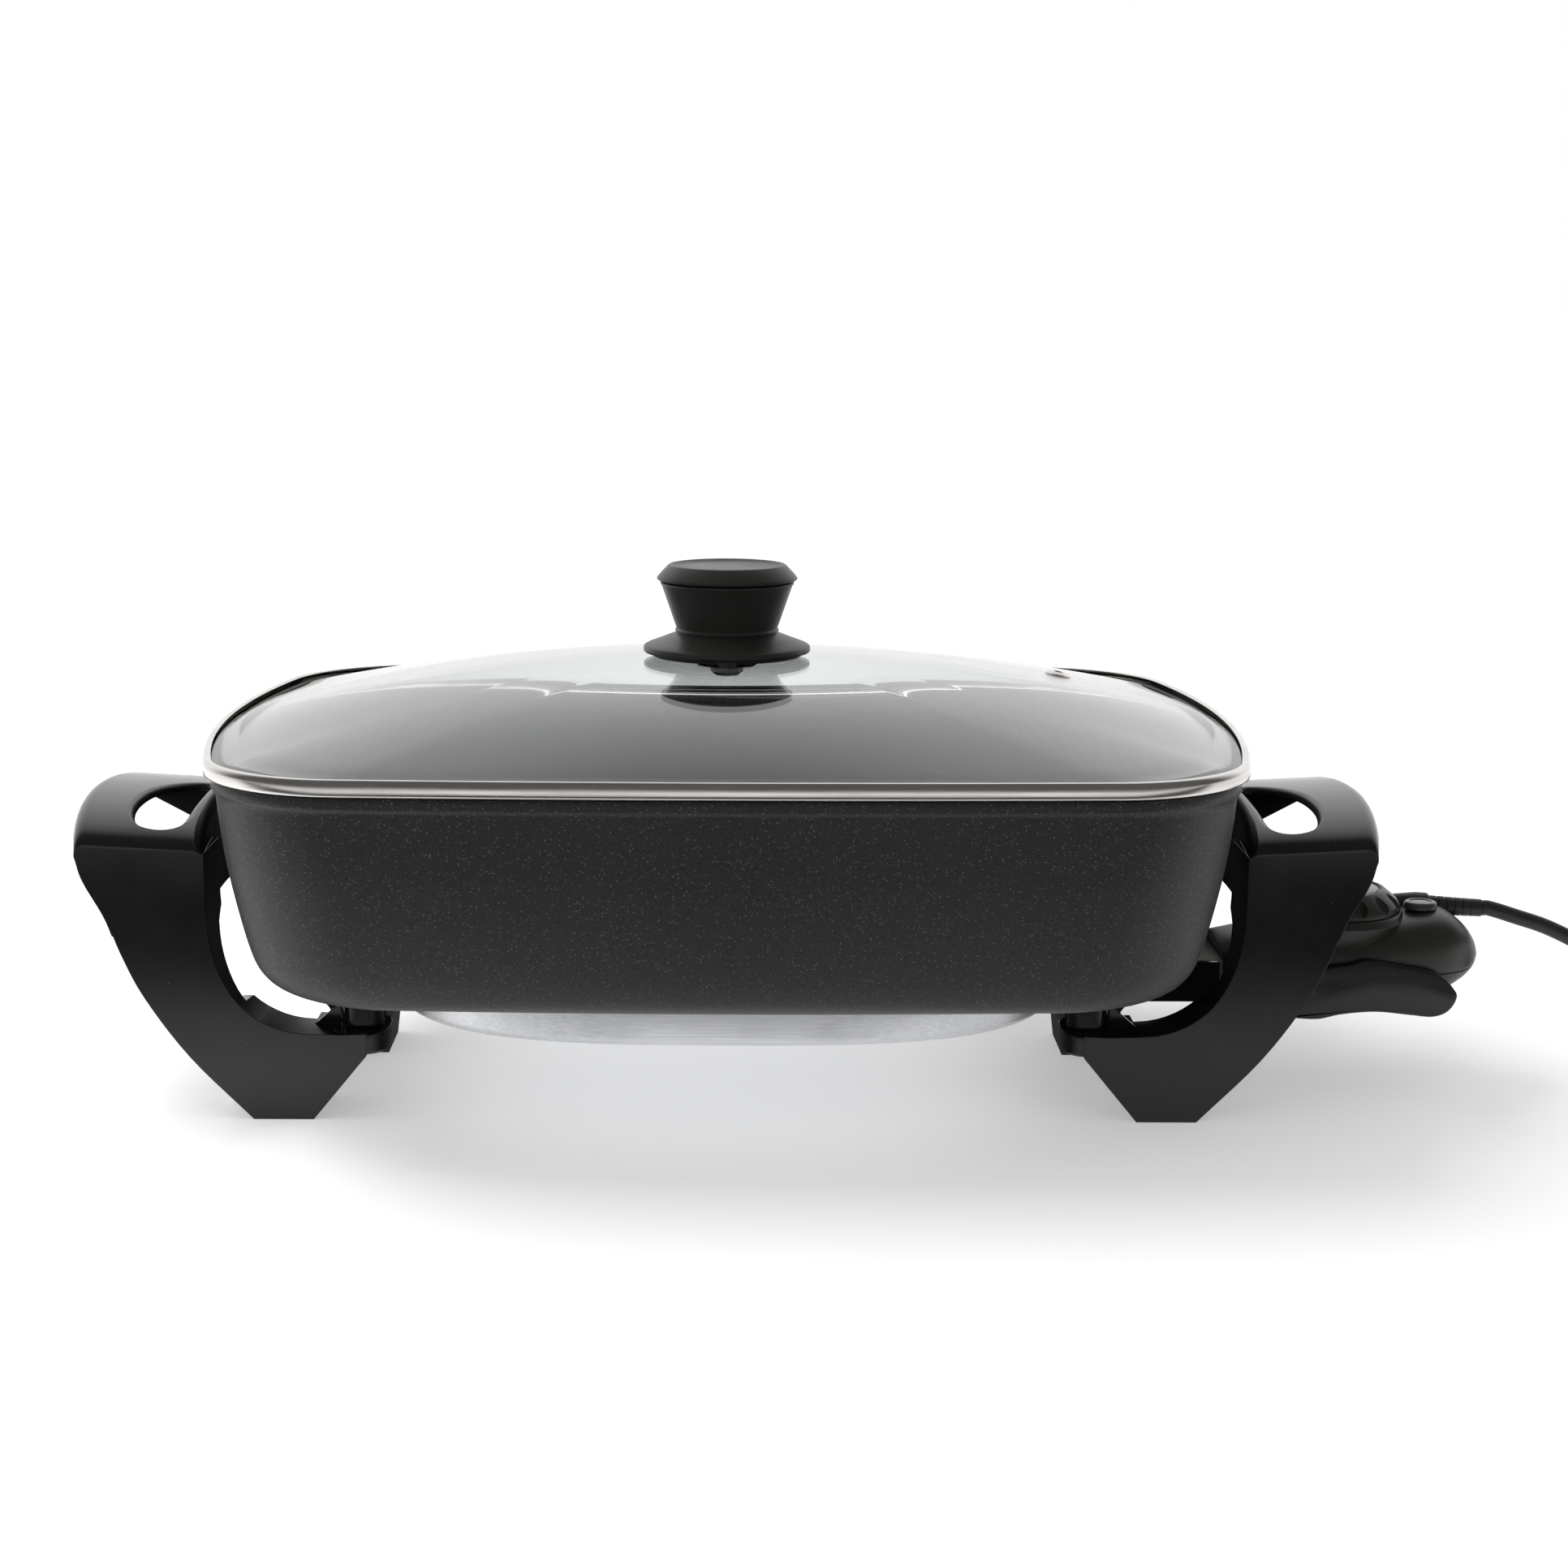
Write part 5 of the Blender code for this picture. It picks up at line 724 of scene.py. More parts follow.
BAND_Z = 0.1436
GLASS_Z = 0.1448
GLASS_THICK = 0.0040
GLASS_TOP_Z = GLASS_Z + GLASS_THICK
DOME_RISE = 0.0262
DOME_POWER = 2.65
DOME_RINGS = 26
BRIM = 0.0060
KNOB_HOLE = 0.0040
VENT = (0.1355, 0.0160)
VENT_RADIUS = 0.0034


def dome_height(share):
    return DOME_RISE * (1 - share ** DOME_POWER)


def dome_ring(share, drop):
    """A ring of the dome: oval about the knob, and like the lid's plan at the brim."""
    half_x = PAN_LENGTH / 2 + LID_OVERHANG - BRIM
    half_y = PAN_WIDTH / 2 + LID_OVERHANG - BRIM
    squareness = share ** 4
    ring = []
    for x, y, _ in lid_ring(BRIM, 0):
        edge = Vector((x, y))
        oval = edge / math.hypot(x / half_x, y / half_y)
        reach = oval.lerp(edge, squareness)
        spot = (reach.normalized() * KNOB_HOLE).lerp(reach, share)
        ring.append((spot.x, spot.y, GLASS_TOP_Z + dome_height(share) - drop))
    return ring


def make_glass():
    shares = [(i / DOME_RINGS) ** 0.85 for i in range(DOME_RINGS + 1)]
    rings = [dome_ring(share, 0) for share in shares]
    edge = mm(GLASS_TOP_Z, (4.8, -0.2), (3.4, -0.3), (2.0, -0.3), (1.2, -1.2))
    edge += mm(GLASS_Z, (1.2, 0.8), (2.2, 0), (5.0, 0), (7.5, 0))
    rings += [lid_ring(inward, z) for inward, z in edge]
    rings += [dome_ring(share, GLASS_THICK) for share in reversed(shares[:-1])]
    dome = loft("lid_dome", rings, closed=True)
    cut(dome, cylinder("vent_way", (*VENT, GLASS_Z - OVERRUN), (*VENT, GLASS_TOP_Z + DOME_RISE),
                       VENT_RADIUS))
    place(dome, "lid", "tempered_glass", "lid_glass", sharp=60)


def make_band():
    """A rolled steel channel round the glass's edge."""
    section = mm(BAND_Z, (0.3, 0.6), (0, 1.1), (-0.1, 1.8), (-0.1, 4.4), (0.1, 5.4), (0.6, 6.3),
                 (1.2, 6.7), (2.3, 6.7), (2.7, 6.5), (2.8, 6.2), (2.6, 5.9), (1.5, 5.8), (1.0, 5.3),
                 (0.9, 1.7), (1.5, 1.2), (5.2, 1.2), (5.5, 0.8), (5.0, 0.4), (1.0, 0.4))
    band = loft("lid_band", [lid_ring(inward, z) for inward, z in section], closed=True)
    place(band, "lid", "steel", "lid_rim", mat=BAND, sharp=50)


def make_vent():
    """A steel bush that stands square to the dome."""
    reach = PAN_LENGTH / 2 + LID_OVERHANG - BRIM - KNOB_HOLE
    share = (math.hypot(*VENT) - KNOB_HOLE) / reach
    slope = DOME_RISE * DOME_POWER * share ** (DOME_POWER - 1) / reach
    bush = turned("vent_bush", mm(0, (1.8, 0.1), (2.1, 0.9), (2.8, 1.3), (4.4, 1.0), (5.4, 0.2),
                                  (5.3, -0.2), (3.1, -0.1), (3.1, -4.4), (3.7, -4.8),
                                  (3.7, -5.0), (2.6, -5.0), (2.3, -4.6)), sides=48)
    bush.data.transform(Matrix.Rotation(slope, 4, "Y"))
    bush.data.transform(Matrix.Translation((*VENT, GLASS_TOP_Z + dome_height(share))))
    place(bush, "lid", "steel", "vent_eyelet", mat=BAND)


def make_knob():
    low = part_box("knob_body")[0].z
    body = mm(low, (0, 28.2), (26.2, 28.2), (26.8, 27.9), (26.8, 27.3), (26.2, 26.5), (21.3, 12.2),
              (20.6, 10.4), (20.3, 9.6), (20.7, 9.2), (20.9, 8.8), (20.7, 8.2), (20.1, 7.9),
              (20.5, 7.6), (21.1, 7.3), (22.2, 6.9), (25.0, 5.8), (29.0, 4.25), (32.2, 3.05),
              (33.1, 2.55), (33.5, 2.0), (33.5, 0.5), (33.1, 0.1), (32.6, 0), (5.9, 0),
              (5.9, 12.3), (0, 12.3))
    cap = mm(low, (0, 34.0), (19.0, 34.0), (20.8, 34.12), (21.9, 34.5), (22.6, 34.9), (23.2, 35.0),
             (23.7, 34.7), (26.2, 32.1), (27.6, 30.5), (28.1, 29.9), (28.2, 29.5), (28.0, 29.05),
             (27.4, 28.7), (26.8, 28.5), (0, 28.5))
    for name, profile, node in (("knob_grip", body, "knob_body"), ("knob_top", cap, "knob_cap")):
        place(turned(name, profile), "lid", "matte_phenolic", node, mat=KNOB, sharp=50)
    low, high = [corner.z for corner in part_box("knob_seal")]
    seal = turned("knob_gasket", mm(high, (4.0, 0), (29.7, 0), (30.0, -0.3))
                  + mm(low, (30.0, 0.3), (29.7, 0), (4.0, 0)))
    cut(seal, cylinder("gate_nub", (0, -0.0300, low - 0.0010), (0, -0.0300, high), 0.0036), "UNION")
    place(seal, "lid", "silicone", "knob_seal")


make_pan()
make_plate()
make_glass()
make_band()
make_vent()
make_knob()


# Brackets: handle, two legs and two pads in one hollow moulding

BRACKET_HALF_DEPTH = 0.0640
BRACKET_WALL = 0.0030
HANDLE_REACH = 0.2575
HANDLE_BOW = 0.0065
HANDLE_INNER = 0.2010
HANDLE_INNER_BOW = 0.0035
HANDLE_TOP_Z = 0.1221
HANDLE_DROP = 0.0127       # how far the deck's ends lie under its middle
HANDLE_SLOPE = 0.0026      # how far the deck falls from its outer to its inner side
HANDLE_EDGE = 0.0050
SKIRT_BULGE = 0.0040
SKIRT_MID_Z = 0.0910
SKIRT_FRONT_Z = 0.0730
SKIRT_REAR_Z = 0.1085
SKIRT_INNER_Z = 0.0810
LEG_DEPTH = 0.0330
LEG_OUTER = 0.2505
FOOT_OUTER = 0.1843
FOOT_INNER = 0.1609
REAR_FOOT_OUTER = 0.1640
REAR_FOOT_INNER = 0.1430
PAD_TOP_Z = 0.0345
PAD_THICK = 0.0090
PAD_RADIUS = 0.0126
PAD_REACH = 0.0114         # the pad's half width; its half depth runs to the leg's face
POST_X = 0.1430
POST_Y = 0.0480
POST_RADIUS = 0.0082
SCREW_WAY_RADIUS = 0.0022
RECESS_RADIUS = 0.0044
RECESS_DEPTH = 0.0030
FINGER_INNER = 0.2110
FINGER_OUTER = 0.2327
FINGER_FRONT = -0.0548
FINGER_REAR = 0.0100
# the finger opening's plan: share across from its inner side, share along from the front
FINGER_SHARES = (
    (0.43, 0.000), (0.70, 0.030), (0.87, 0.110), (0.975, 0.250), (1.00, 0.420), (0.93, 0.640),
    (0.78, 0.800), (0.60, 0.900), (0.35, 0.975), (0.12, 1.000), (0.01, 0.960), (0.00, 0.850),
    (0.00, 0.600), (0.01, 0.400), (0.02, 0.180), (0.07, 0.080), (0.20, 0.020),
)
# the opening's rounded lip: depth under the deck, and how far it flares out there
FINGER_LIP = mm(0, (3.2, 0), (1.8, 0.2), (0.9, 0.8), (0.3, 1.8), (0, 3.2), (-1.5, 10.0))
DECK_STATIONS = 22
DECK_OVERRUN = 0.0002      # more would cut a slot in the rear leg under the skirt
LEG_STATIONS = 4
SKIRT_STEPS = 10
EDGE_STEPS = 5
BEND_STEPS = 4
HIDDEN = 0.00005           # how far one moulded form ends under the face of another
LEG_TUCK = 0.0010          # how far a leg ends under the deck
PAD_CORNER = 2.8
PAD_STEPS = 72
PAD_OVERLAP = 0.0030
RIB_RISE = 0.0090
RIB_REACH = 0.0120
RIB_HALF = 0.0007
SCOOP_X = (0.1620, 0.2060)
# in mm: depth behind the front face, and height
SCOOP_RIM = ((23.0, 15.0), (23.0, 44.0), (10.5, 45.0), (25.0, 74.0), (35.0, 80.0), (40.0, 15.0))
# a leg's edge: share across from the pad's inner side, and share of the leg's full height
FRONT_OUTER_SHARES = (
    (1.000, 0.972), (0.982, 0.858), (0.910, 0.715), (0.866, 0.590), (0.792, 0.430),
    (0.650, 0.220),
)
FRONT_INNER_SHARES = (
    (0.158, 0.303), (0.340, 0.316), (0.470, 0.390), (0.550, 0.520), (0.585, 0.690),
    (0.588, 0.972),
)
REAR_OUTER_SHARES = (
    (0.890, 0.972), (0.740, 0.885), (0.640, 0.760), (0.615, 0.580), (0.560, 0.410),
    (0.400, 0.270), (0.300, 0.150),
)
REAR_INNER_SHARES = (
    (0.158, 0.303), (0.300, 0.330), (0.430, 0.445), (0.515, 0.610), (0.560, 0.790),
    (0.588, 0.972),
)


def smooth_outline(points, steps=EDGE_STEPS):
    return [(p.x, p.y) for p in smooth_line([(x, z, 0) for x, z in points], steps)]


def off_line(spot, start, end):
    along = end - start
    share = min(max((spot - start).dot(along) / along.length_squared, 0), 1)
    return (spot - start - along * share).length


def inset(points, distance):
    """A closed outline moved inwards, without the spots that would cross at corners."""
    spots = [Vector(point) for point in points]
    edges = list(zip(spots, spots[1:] + spots[:1]))
    turn = 1 if sum(a.cross(b) for a, b in edges) > 0 else -1
    moved = []
    for (before, here), (_, after) in zip(edges[-1:] + edges[:-1], edges):
        one = (here - before).normalized()
        two = (after - here).normalized()
        normal = Vector((-(one.y + two.y), one.x + two.x)).normalized() * turn
        lean = normal.dot(Vector((-one.y, one.x)) * turn)
        spot = here + normal * distance / max(lean, 0.5)
        if min(off_line(spot, a, b) for a, b in edges) > distance * 0.95:
            moved.append(tuple(spot))
    return moved


def handle_top(y):
    along = min(abs(y) / BRACKET_HALF_DEPTH, 1)
    return HANDLE_TOP_Z - HANDLE_DROP * (1 - math.sqrt(1 - along ** 2))


def handle_outer(y):
    return HANDLE_REACH - HANDLE_BOW * (y / BRACKET_HALF_DEPTH) ** 2


def handle_inner(y):
    return HANDLE_INNER + HANDLE_INNER_BOW * (1 - (y / BRACKET_HALF_DEPTH) ** 2)


def deck_fall(x, y):
    share = (x - handle_inner(y)) / (handle_outer(y) - handle_inner(y))
    return HANDLE_SLOPE * (1 - min(max(share, 0), 1))


def skirt_bottom(y):
    along = abs(y) / BRACKET_HALF_DEPTH
    if y < 0:
        return SKIRT_MID_Z + (SKIRT_FRONT_Z - SKIRT_MID_Z) * along ** 1.4
    return SKIRT_MID_Z + (SKIRT_REAR_Z - SKIRT_MID_Z) * along ** 0.7


def leg_edge(shares, *foot):
    start = POST_X - PAD_RADIUS
    full = handle_top(BRACKET_HALF_DEPTH) / FRONT_OUTER_SHARES[0][1]
    spots = [(start + (LEG_OUTER - start) * across, full * up) for across, up in shares]
    return smooth_outline(spots + list(foot))


FRONT_EDGE = leg_edge(FRONT_OUTER_SHARES, (FOOT_OUTER, 0))
REAR_EDGE = leg_edge(REAR_OUTER_SHARES, (REAR_FOOT_OUTER, 0))


def skirt_lean(z):
    for (high_x, high_z), (low_x, low_z) in zip(FRONT_EDGE, FRONT_EDGE[1:]):
        if low_z <= z <= high_z:
            share = (z - low_z) / (high_z - low_z)
            return LEG_OUTER - low_x - (high_x - low_x) * share
    return 0


def deck_stations(end):
    half = [BRACKET_HALF_DEPTH * math.sin(math.pi / 2 * i / DECK_STATIONS)
            for i in range(DECK_STATIONS + 1)]
    half = [y for y in half if y < end - MERGE] + [end]
    return [-y for y in reversed(half)] + half[1:]


def deck_block(side, wall):
    """The handle's outer form, or with a wall its hollow, lofted from front to back."""
    rings = []
    edge = HANDLE_EDGE - wall * 0.8
    open_drop = DECK_OVERRUN if wall else 0
    for y in deck_stations(BRACKET_HALF_DEPTH - wall):
        top = handle_top(y) - wall
        outer = handle_outer(y) - wall
        inner = handle_inner(y) + wall
        low = skirt_bottom(y)
        span = handle_outer(y) - skirt_lean(low) - handle_inner(y)
        rise = wall * (low - SKIRT_INNER_Z) / span
        low -= rise + open_drop
        section = [(inner, SKIRT_INNER_Z + rise - open_drop)]
        bends = [math.pi / 2 * i / BEND_STEPS for i in range(BEND_STEPS + 1)]
        corner = [(inner + edge * (1 - math.cos(bend)), 1 - math.sin(bend)) for bend in bends]
        corner += [(outer - edge * (1 - math.sin(bend)), 1 - math.cos(bend)) for bend in bends]
        section += [(x, top - deck_fall(x, y) - edge * drop) for x, drop in corner]
        swell = SKIRT_BULGE * (1 - (y / BRACKET_HALF_DEPTH) ** 2)
        for i in range(1, SKIRT_STEPS + 1):
            z = top - edge + (low - top + edge) * i / SKIRT_STEPS
            out = swell * math.sin(math.pi * (i / SKIRT_STEPS) ** 0.8)
            section.append((outer - skirt_lean(z) + out, z))
        rings.append([(side * x, y, z) for x, z in section])
    return loft("deck", rings)


def leg_outline(outer_edge, inner_shares, foot_inner):
    """Side view of a leg as (x, z): outer edge down, foot, pad and inner edge up."""
    end = POST_X - PAD_OVERLAP
    return tidy(outer_edge + [(foot_inner, 0), (end, PAD_TOP_Z - PAD_THICK), (end, PAD_TOP_Z)]
                + leg_edge(inner_shares))


def leg_block(side, points, near, far, tuck=0):
    """A leg's outline run from one depth to another, bowed out where the handle bows."""
    rings = []
    rise = SKIRT_MID_Z - SKIRT_FRONT_Z
    highest = handle_top(BRACKET_HALF_DEPTH) - LEG_TUCK
    for i in range(LEG_STATIONS + 1):
        y = near + (far - near) * i / LEG_STATIONS
        bow = handle_outer(y) - handle_outer(BRACKET_HALF_DEPTH)
        ring = []
        for x, z in points:
            share = min(max((z - SKIRT_FRONT_Z) / rise, 0), 1)
            outside = x > handle_inner(y) + BRACKET_WALL
            outward = bow * share - tuck * share if outside else 0
            ring.append((side * (x + outward), y, min(z, highest - deck_fall(x, y))))
        rings.append(ring)
    return loft("leg", rings)


def bracket_feet(side, end):
    """The rounded pad under a post and the thin rib beside the post."""
    x = side * POST_X
    y = end * POST_Y
    low = PAD_TOP_Z - PAD_THICK
    half_y = BRACKET_HALF_DEPTH - POST_Y - HIDDEN
    rings = []
    for inward, z in (mm(low, (3.0, 0), (1.2, 0.5), (0.3, 1.5), (0, 2.8))
                      + mm(PAD_TOP_Z, (0, -0.8), (0.3, -0.2), (0.9, 0))):
        oval = superellipse(PAD_REACH - inward, half_y - inward, PAD_CORNER, PAD_STEPS)
        rings.append([(x + u, y + v, z) for u, v in oval])
    pad = loft("pad", rings)
    near = POST_X + POST_RADIUS + SEAT_GAP
    sunk = PAD_TOP_Z - BRACKET_WALL / 2
    rib = loft("rib", [[(side * near, spot, sunk), (side * near, spot, PAD_TOP_Z + RIB_RISE),
                        (side * (near + RIB_REACH), spot, sunk)]
                       for spot in (y - RIB_HALF, y + RIB_HALF)])
    return pad, rib


def finger_way(side):
    """Cutter for the finger opening, flared to a rounded lip under the deck's top."""
    across = FINGER_OUTER - FINGER_INNER
    along = FINGER_REAR - FINGER_FRONT
    plan = [(FINGER_INNER + across * u, FINGER_FRONT + along * v) for u, v in FINGER_SHARES]
    line = smooth_outline(plan[-1:] + plan + plan[:2])
    spots = [Vector(point) for point in line[EDGE_STEPS:-EDGE_STEPS - 1]]
    rings = [[(side * p.x, p.y, SKIRT_INNER_Z) for p in spots]]
    for depth, flare in FINGER_LIP:
        ring = []
        for i, spot in enumerate(spots):
            way = (spots[(i + 1) % len(spots)] - spots[i - 1]).normalized()
            moved = spot + Vector((way.y, -way.x)) * flare
            top = handle_top(spot.y) - deck_fall(moved.x, moved.y)
            ring.append((side * moved.x, moved.y, top - depth))
        rings.append(ring)
    rings.append([(x, y, HANDLE_TOP_Z + OVERRUN * 4) for x, y, _ in rings[-1]])
    return loft("finger_way", rings)


def flange_scoop(side):
    """Takes the front leg's inner flange back to its sloping rear rim."""
    return loft("flange_scoop", [[(side * x, depth - BRACKET_HALF_DEPTH, z)
                                  for depth, z in mm(0, *SCOOP_RIM)] for x in SCOOP_X])


def bracket_body(side):
    front = leg_outline(FRONT_EDGE, FRONT_INNER_SHARES, FOOT_INNER)
    rear = leg_outline(REAR_EDGE, REAR_INNER_SHARES, REAR_FOOT_INNER)
    body = deck_block(side, 0)
    hollows = [deck_block(side, BRACKET_WALL)]
    for end, outline in ((-1, front), (1, rear)):
        face = end * BRACKET_HALF_DEPTH
        back = end * (BRACKET_HALF_DEPTH - LEG_DEPTH)
        cut(body, leg_block(side, outline, face, back, HIDDEN), "UNION")
        hollows.append(leg_block(side, inset(outline, BRACKET_WALL),
                                 face - end * BRACKET_WALL, back - end * OVERRUN))
    for hollow in hollows:
        cut(body, hollow)
    for end in (-1, 1):
        for extra in bracket_feet(side, end):
            cut(body, extra, "UNION")
        x = side * POST_X
        y = end * POST_Y
        low = PAD_TOP_Z - PAD_THICK
        for start, end_z, radius in ((low, PAD_TOP_Z + OVERRUN, SCREW_WAY_RADIUS),
                                     (low - OVERRUN, low + RECESS_DEPTH, RECESS_RADIUS)):
            cut(body, cylinder("screw_place", (x, y, start), (x, y, end_z), radius))
    cut(body, finger_way(side))
    cut(body, flange_scoop(side))
    return body


def make_brackets():
    """The left bracket, and the right one as its mirror image."""
    left = bracket_body(-1)
    left.name = "left_moulding"
    right = link(bpy.data.objects.new("right_moulding", left.data.copy()))
    right.data.transform(Matrix.Scale(-1, 4, (1, 0, 0)))
    right.data.flip_normals()
    for moulding, node in ((left, "left_bracket"), (right, "right_bracket")):
        place(moulding, "base", "gloss_phenolic", node, sharp=30)
        even = moulding.modifiers.new("even", "WEIGHTED_NORMAL")
        even.keep_sharp = True
        even.weight = 100


def make_posts():
    for side, hand in ((-1, "left_"), (1, "right_")):
        for end, spot in SIDES:
            low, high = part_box("post_" + hand + spot)
            profile = mm(high.z, (2.4, 0), (7.9, 0), (8.2, -0.3))
            profile += mm(low.z, (8.2, 2.2), (8.4, 1.2), (8.2, 0), (2.4, 0))
            post = turned("stand_" + hand + spot, profile, (side * POST_X, end * POST_Y, 0), 64)
            place(post, "base", "gloss_phenolic", "post_" + hand + spot)


make_brackets()
make_posts()


# Controller

HOUSING_START = 0.2000
HOUSING_END = 0.3074
HOUSING_HALF = 0.0262
HOUSING_TOP_Z = 0.0726
HOUSING_BOTTOM_Z = 0.0380
HOUSING_WALL = 0.0023
HOUSING_POWER = 2.9
HOUSING_STEPS = 72
PARTING_Z = 0.0500
PARTING_GAP = 0.0002       # how far each half of the housing ends off the parting line
NOSE_END = 0.2083
NOSE_HALF = 0.0228
# share of the length, of the half width, and of the height at the top and at the bottom
HOUSING_SHARES = (
    (0.000, 0.930, 0.639, 0.064), (0.130, 0.965, 0.725, 0.017), (0.300, 0.993, 0.812, 0.000),
    (0.520, 1.000, 0.884, 0.000), (0.708, 0.993, 0.971, 0.000), (0.838, 0.901, 1.000, 0.046),
    (0.922, 0.680, 0.870, 0.170), (0.973, 0.404, 0.682, 0.290), (1.000, 0.130, 0.494, 0.400),
)
DIAL_X = 0.2486
DIAL_Z = 0.0722
LAMP_X = 0.2832
LAMP_Y = -0.0040
LEAD_WAY_X = (0.2768, 0.2830)
SCREW_SPOTS = ((0.2190, -0.0170), (0.2190, 0.0170))
BOSS_RADIUS = 0.0042
SCREW_RADIUS = 0.0017


def housing_form(name, wall):
    rings = []
    length = HOUSING_END - HOUSING_START
    height = HOUSING_TOP_Z - HOUSING_BOTTOM_Z
    for along, wide, high, low in smooth_line(HOUSING_SHARES, 5):
        x = HOUSING_START + length * min(along, 1)
        x = min(max(x, HOUSING_START + wall), HOUSING_END - wall)
        half = max(HOUSING_HALF * wide - wall, wall / 2 + MERGE)
        top = HOUSING_BOTTOM_Z + height * high
        bottom = HOUSING_BOTTOM_Z + height * low
        tall = max((top - bottom) / 2 - wall, wall / 2 + MERGE)
        if rings and x - rings[-1][0][0] < LEAST_RING_STEP:
            continue
        ring = superellipse(half, tall, HOUSING_POWER, HOUSING_STEPS)
        rings.append([(x, y, (top + bottom) / 2 + z) for y, z in ring])
    return loft(name, rings)


def housing_half(name, keep_top):
    shell = housing_form(name, 0)
    cut(shell, housing_form("hollow", HOUSING_WALL))
    reach = HOUSING_HALF * 2
    low = 0 if keep_top else PARTING_Z - PARTING_GAP
    high = PARTING_Z + PARTING_GAP if keep_top else HOUSING_TOP_Z * 2
    start = HOUSING_START - OVERRUN
    cut(shell, box("spare", (start, -reach, low), (HOUSING_END + OVERRUN, reach, high)))
    cut(shell, box("nose_way", (start, -NOSE_HALF, AXIS_Z - 0.0064),
                   (NOSE_END, NOSE_HALF, AXIS_Z + 0.0058)))
    return shell


def make_housing():
    top = housing_half("housing_top", True)
    table = DIAL_Z - SEAT_GAP
    pedestal = mm(table, (0, 0), (26.8, 0), (27.6, -0.3), (28.1, -1.0), (29.5, -3.0),
                  (29.3, -3.6), (25.0, -11.0), (0, -11.0))
    room = mm(table, (0, -2.3), (25.7, -2.3), (21.1, -13.0), (0, -13.0))
    cut(top, turned("pedestal", pedestal, (DIAL_X, 0, 0)), "UNION")
    cut(top, turned("pedestal_room", room, (DIAL_X, 0, 0)))
    cut(top, cylinder("shaft_way", (DIAL_X, 0, PARTING_Z), (DIAL_X, 0, DIAL_Z + OVERRUN), 0.0034))
    cut(top, cylinder("lens_way", (LAMP_X, LAMP_Y, 0.0677), (LAMP_X, LAMP_Y, 0.0746), 0.0044))
    turret = mm(0, (0, -12.5), (4.0, -12.5), (5.1, -4.0), (5.1, 1.0), (4.8, 1.4), (0, 1.4))
    way = mm(0, (0, -5.4), (4.4, -5.4), (4.4, 24.0), (0, 24.0))
    for profile, operation in ((turret, "UNION"), (way, "DIFFERENCE")):
        tool = turned("turret", profile, sides=48)
        tool.data.transform(relief_frame())
        cut(top, tool, operation)
    start, end = LEAD_WAY_X
    cut(top, box("lead_way", (start, RELIEF_Y - 0.0028, RELIEF_Z - 0.0110),
                 (end, RELIEF_Y + 0.0028, RELIEF_Z)))
    base = housing_half("housing_base", False)
    for x, y in SCREW_SPOTS:
        for half, operation, low, high, radius in (
                (base, "UNION", 0.0395, PARTING_Z - PARTING_GAP, BOSS_RADIUS),
                (top, "UNION", PARTING_Z + PARTING_GAP, 0.0612, BOSS_RADIUS),
                (base, "DIFFERENCE", 0, PARTING_Z + OVERRUN, SCREW_RADIUS),
                (base, "DIFFERENCE", 0, 0.0418, 0.0029),
                (top, "DIFFERENCE", PARTING_Z - OVERRUN, 0.0568, SCREW_RADIUS)):
            cut(half, cylinder("screw_place", (x, y, low), (x, y, high), radius), operation)
    for half, node in ((top, "controller_top"), (base, "controller_base")):
        place(half, "controller", "matte_phenolic", node, sharp=35)


GRIP_X = (0.2270, 0.2934)
GRIP_Z = (0.0324, 0.0570)
GRIP_HALF = 0.0293
GRIP_ROOM = ((0.2250, -0.0265, 0.0377), (0.2954, 0.0265, 0.0590))
GRIP_FOOT_X = 0.2325
GRIP_SHARES = (
    (0.000, 0.020), (0.000, 0.800), (0.196, 0.880), (0.342, 0.930), (0.444, 1.000),
    (0.598, 0.935), (0.864, 0.793), (0.983, 0.508), (1.000, 0.341), (0.949, 0.130),
    (0.858, 0.041), (0.723, 0.070), (0.517, 0.122), (0.316, 0.080), (0.179, 0.000),
    (0.075, 0.000),
)


def make_grip():
    (start, end), (low, high) = GRIP_X, GRIP_Z
    outline = [(start + (end - start) * u, low + (high - low) * v) for u, v in GRIP_SHARES]
    spots = [Vector(p) for p in tidy(smooth_outline(outline + outline[:1], 6)[:-1])]
    middle = sum(spots, Vector((0, 0))) / len(spots)
    sides = [(inward, back - GRIP_HALF)
             for inward, back in mm(0, (1.2, 0), (0.5, 0.2), (0.1, 0.7), (0, 1.4))]
    sides += [(inward, -y) for inward, y in reversed(sides)]
    rings = []
    for inward, y in sides:
        ring = []
        for i, spot in enumerate(spots):
            along = (spots[(i + 1) % len(spots)] - spots[i - 1]).normalized()
            normal = Vector((-along.y, along.x))
            if normal.dot(middle - spot) < 0:
                normal = -normal
            moved = spot + normal * inward
            ring.append((moved.x, y, moved.y))
        rings.append(ring)
    grip = loft("grip_wings", rings)
    cut(grip, box("grip_room", *GRIP_ROOM))
    foot = mm(0, (0, 28.4), (3.6, 28.4), (4.3, 28.8), (4.5, 29.6), (4.5, 37.4), (0, 37.4))
    cut(grip, turned("foot", foot, (GRIP_FOOT_X, 0, 0), 48), "UNION")
    place(grip, "controller", "gloss_phenolic", "finger_grip", mat=GRIP, sharp=35)


DIAL_NOTCHES = 14
NOTCH_TILT = math.radians(38)
NOTCH_SIZE = (0.0025, 0.0030, 0.0056)
NOTCH_MIDDLE = (0.0251, 0, 0.0055)
DISC_RISE = 0.00815        # from the dial's foot to the underside of its pale disc


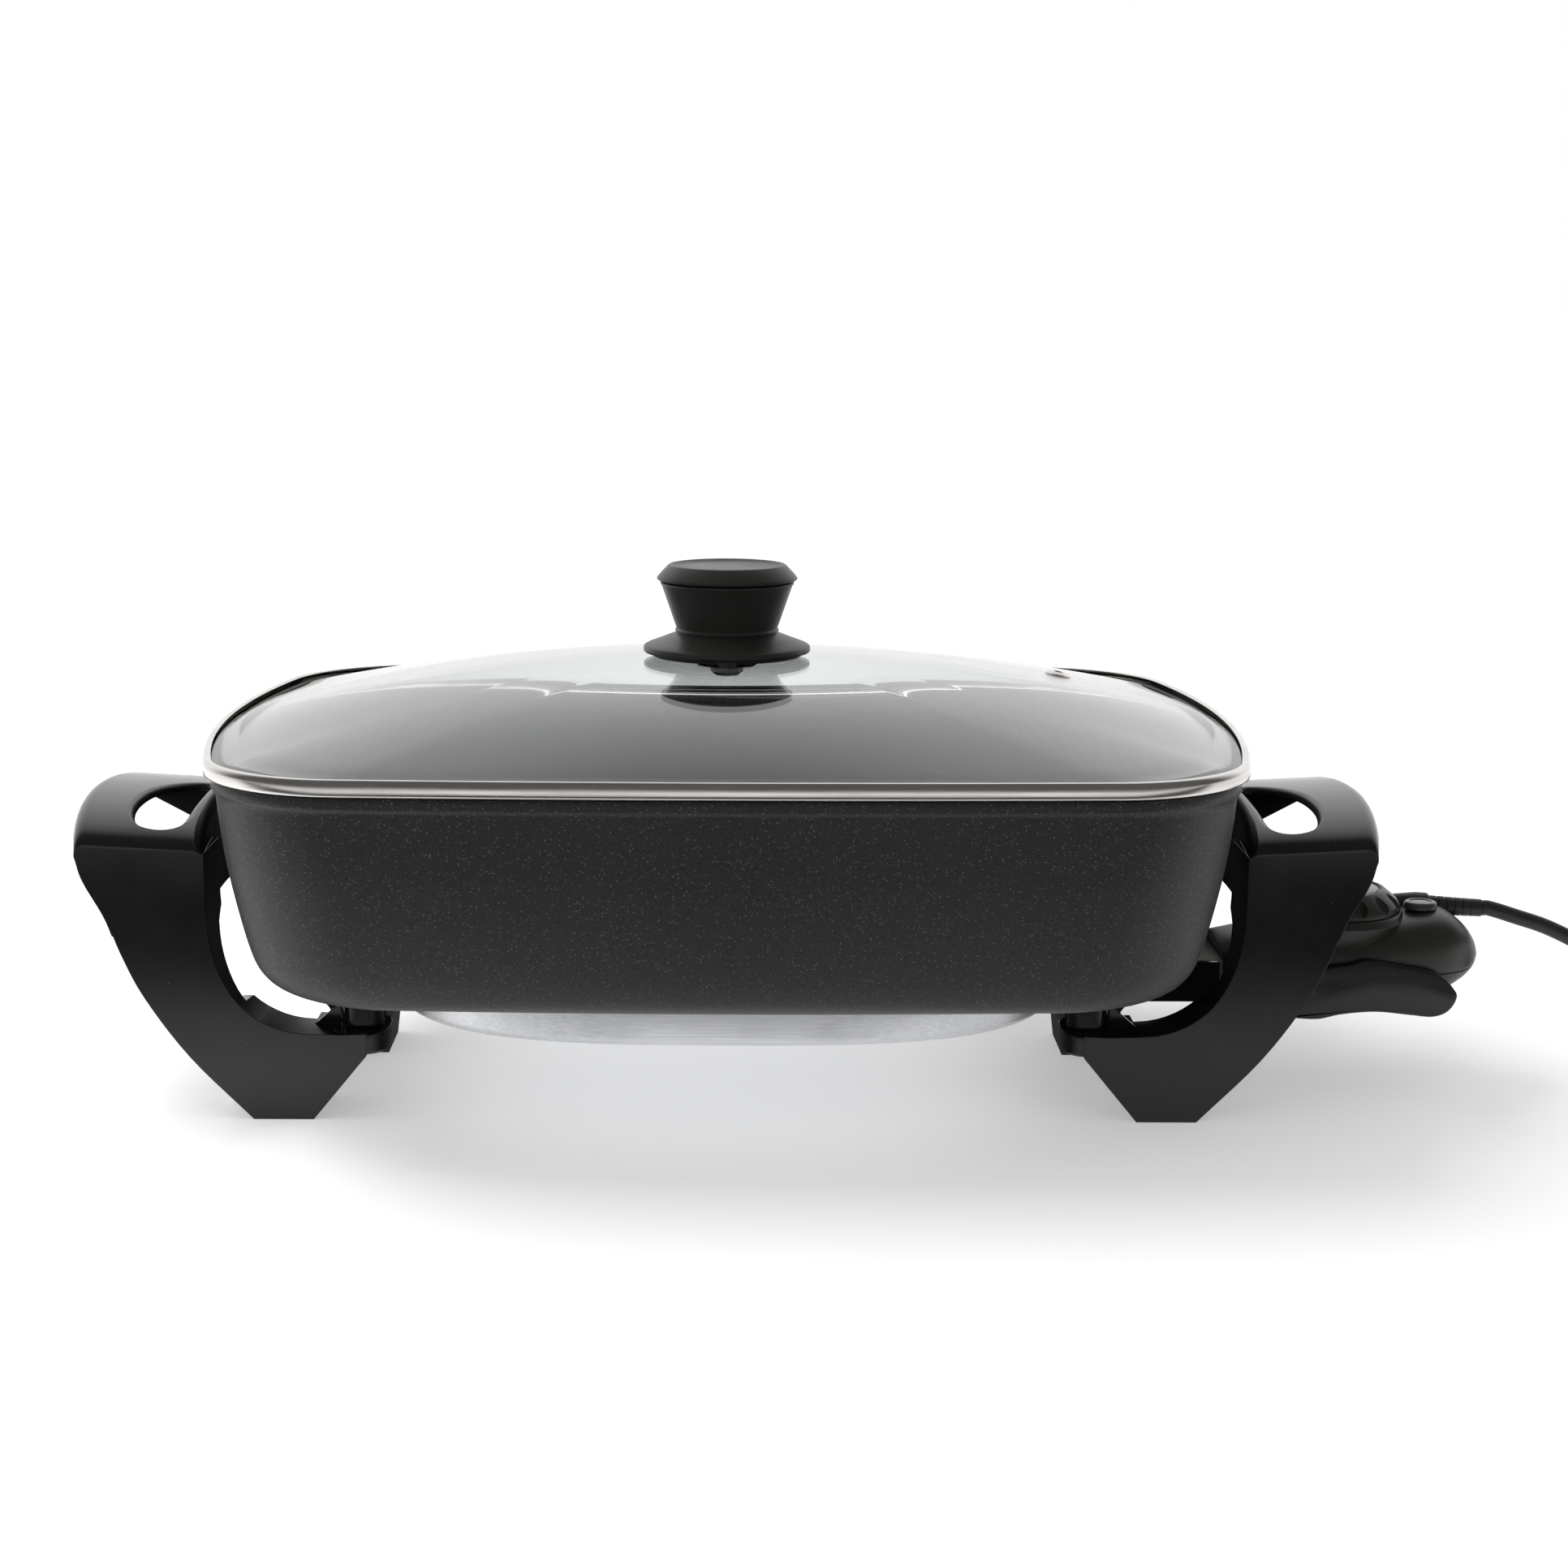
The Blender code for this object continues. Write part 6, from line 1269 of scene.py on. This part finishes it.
def make_dial():
    profile = mm(0, (3.4, 8.0), (18.7, 8.0), (18.9, 8.6), (19.3, 8.8), (19.9, 8.8), (20.4, 8.5),
                 (25.0, 4.8), (26.2, 3.0), (26.7, 1.7), (26.8, 0.9), (26.8, 0), (24.6, 0),
                 (24.0, 2.2), (17.8, 5.8), (6.8, 5.8), (6.8, 0), (3.4, 0))
    body = turned("dial_knob", profile, (DIAL_X, 0, DIAL_Z), 112)
    centre = Vector((DIAL_X, 0, DIAL_Z))
    for i in range(DIAL_NOTCHES):
        turn = Matrix.Rotation(2 * math.pi * i / DIAL_NOTCHES, 3, "Z")
        bm = bmesh.new()
        bmesh.ops.create_uvsphere(bm, u_segments=20, v_segments=12, radius=1)
        bmesh.ops.scale(bm, verts=bm.verts, vec=NOTCH_SIZE)
        bmesh.ops.rotate(bm, verts=bm.verts, matrix=Matrix.Rotation(-NOTCH_TILT, 3, "Y"))
        bmesh.ops.rotate(bm, verts=bm.verts, matrix=turn)
        bmesh.ops.translate(bm, verts=bm.verts, vec=centre + turn @ Vector(NOTCH_MIDDLE))
        cut(body, mesh_object("notch", bm))
    place(body, "dial", "matte_phenolic", "dial", sharp=35)
    disc = mm(DIAL_Z + DISC_RISE, (0, 0.6), (17.2, 0.6), (17.7, 0.3), (17.8, 0), (0, 0))
    place(turned("dial_disc", disc, (DIAL_X, 0, 0)), "dial", "pale_plastic", "dial_insert")


def make_lens():
    profile = mm(0, (0, 75.4), (3.0, 75.4), (4.4, 75.2), (4.8, 75.6), (5.6, 75.7), (6.2, 75.4),
                 (6.6, 74.7), (6.6, 72.9), (4.0, 72.9), (4.0, 69.7), (0, 69.7))
    lens = turned("pilot_lens", profile, (LAMP_X, LAMP_Y, 0), 64)
    place(lens, "controller", "lamp_lens", "lamp_lens")


def make_relief():
    profile = mm(0, (0, 24.0), (3.3, 24.0), (3.6, 23.7), (3.6, 22.5), (3.8, 12.0), (4.1, 2.0),
                 (4.1, -5.0), (0, -5.0))
    relief = turned("cord_sleeve", profile, sides=48)
    for i in range(5):
        groove = mm(0.0050 + 0.0034 * i, (3.4, 0), (5.0, -0.4), (5.0, 1.0), (3.4, 0.6))
        cut(relief, turned("groove", groove, sides=48))
    relief.data.transform(relief_frame())
    place(relief, "controller", "cord_rubber", "strain_relief")


make_housing()
make_grip()
make_dial()
make_lens()
make_relief()
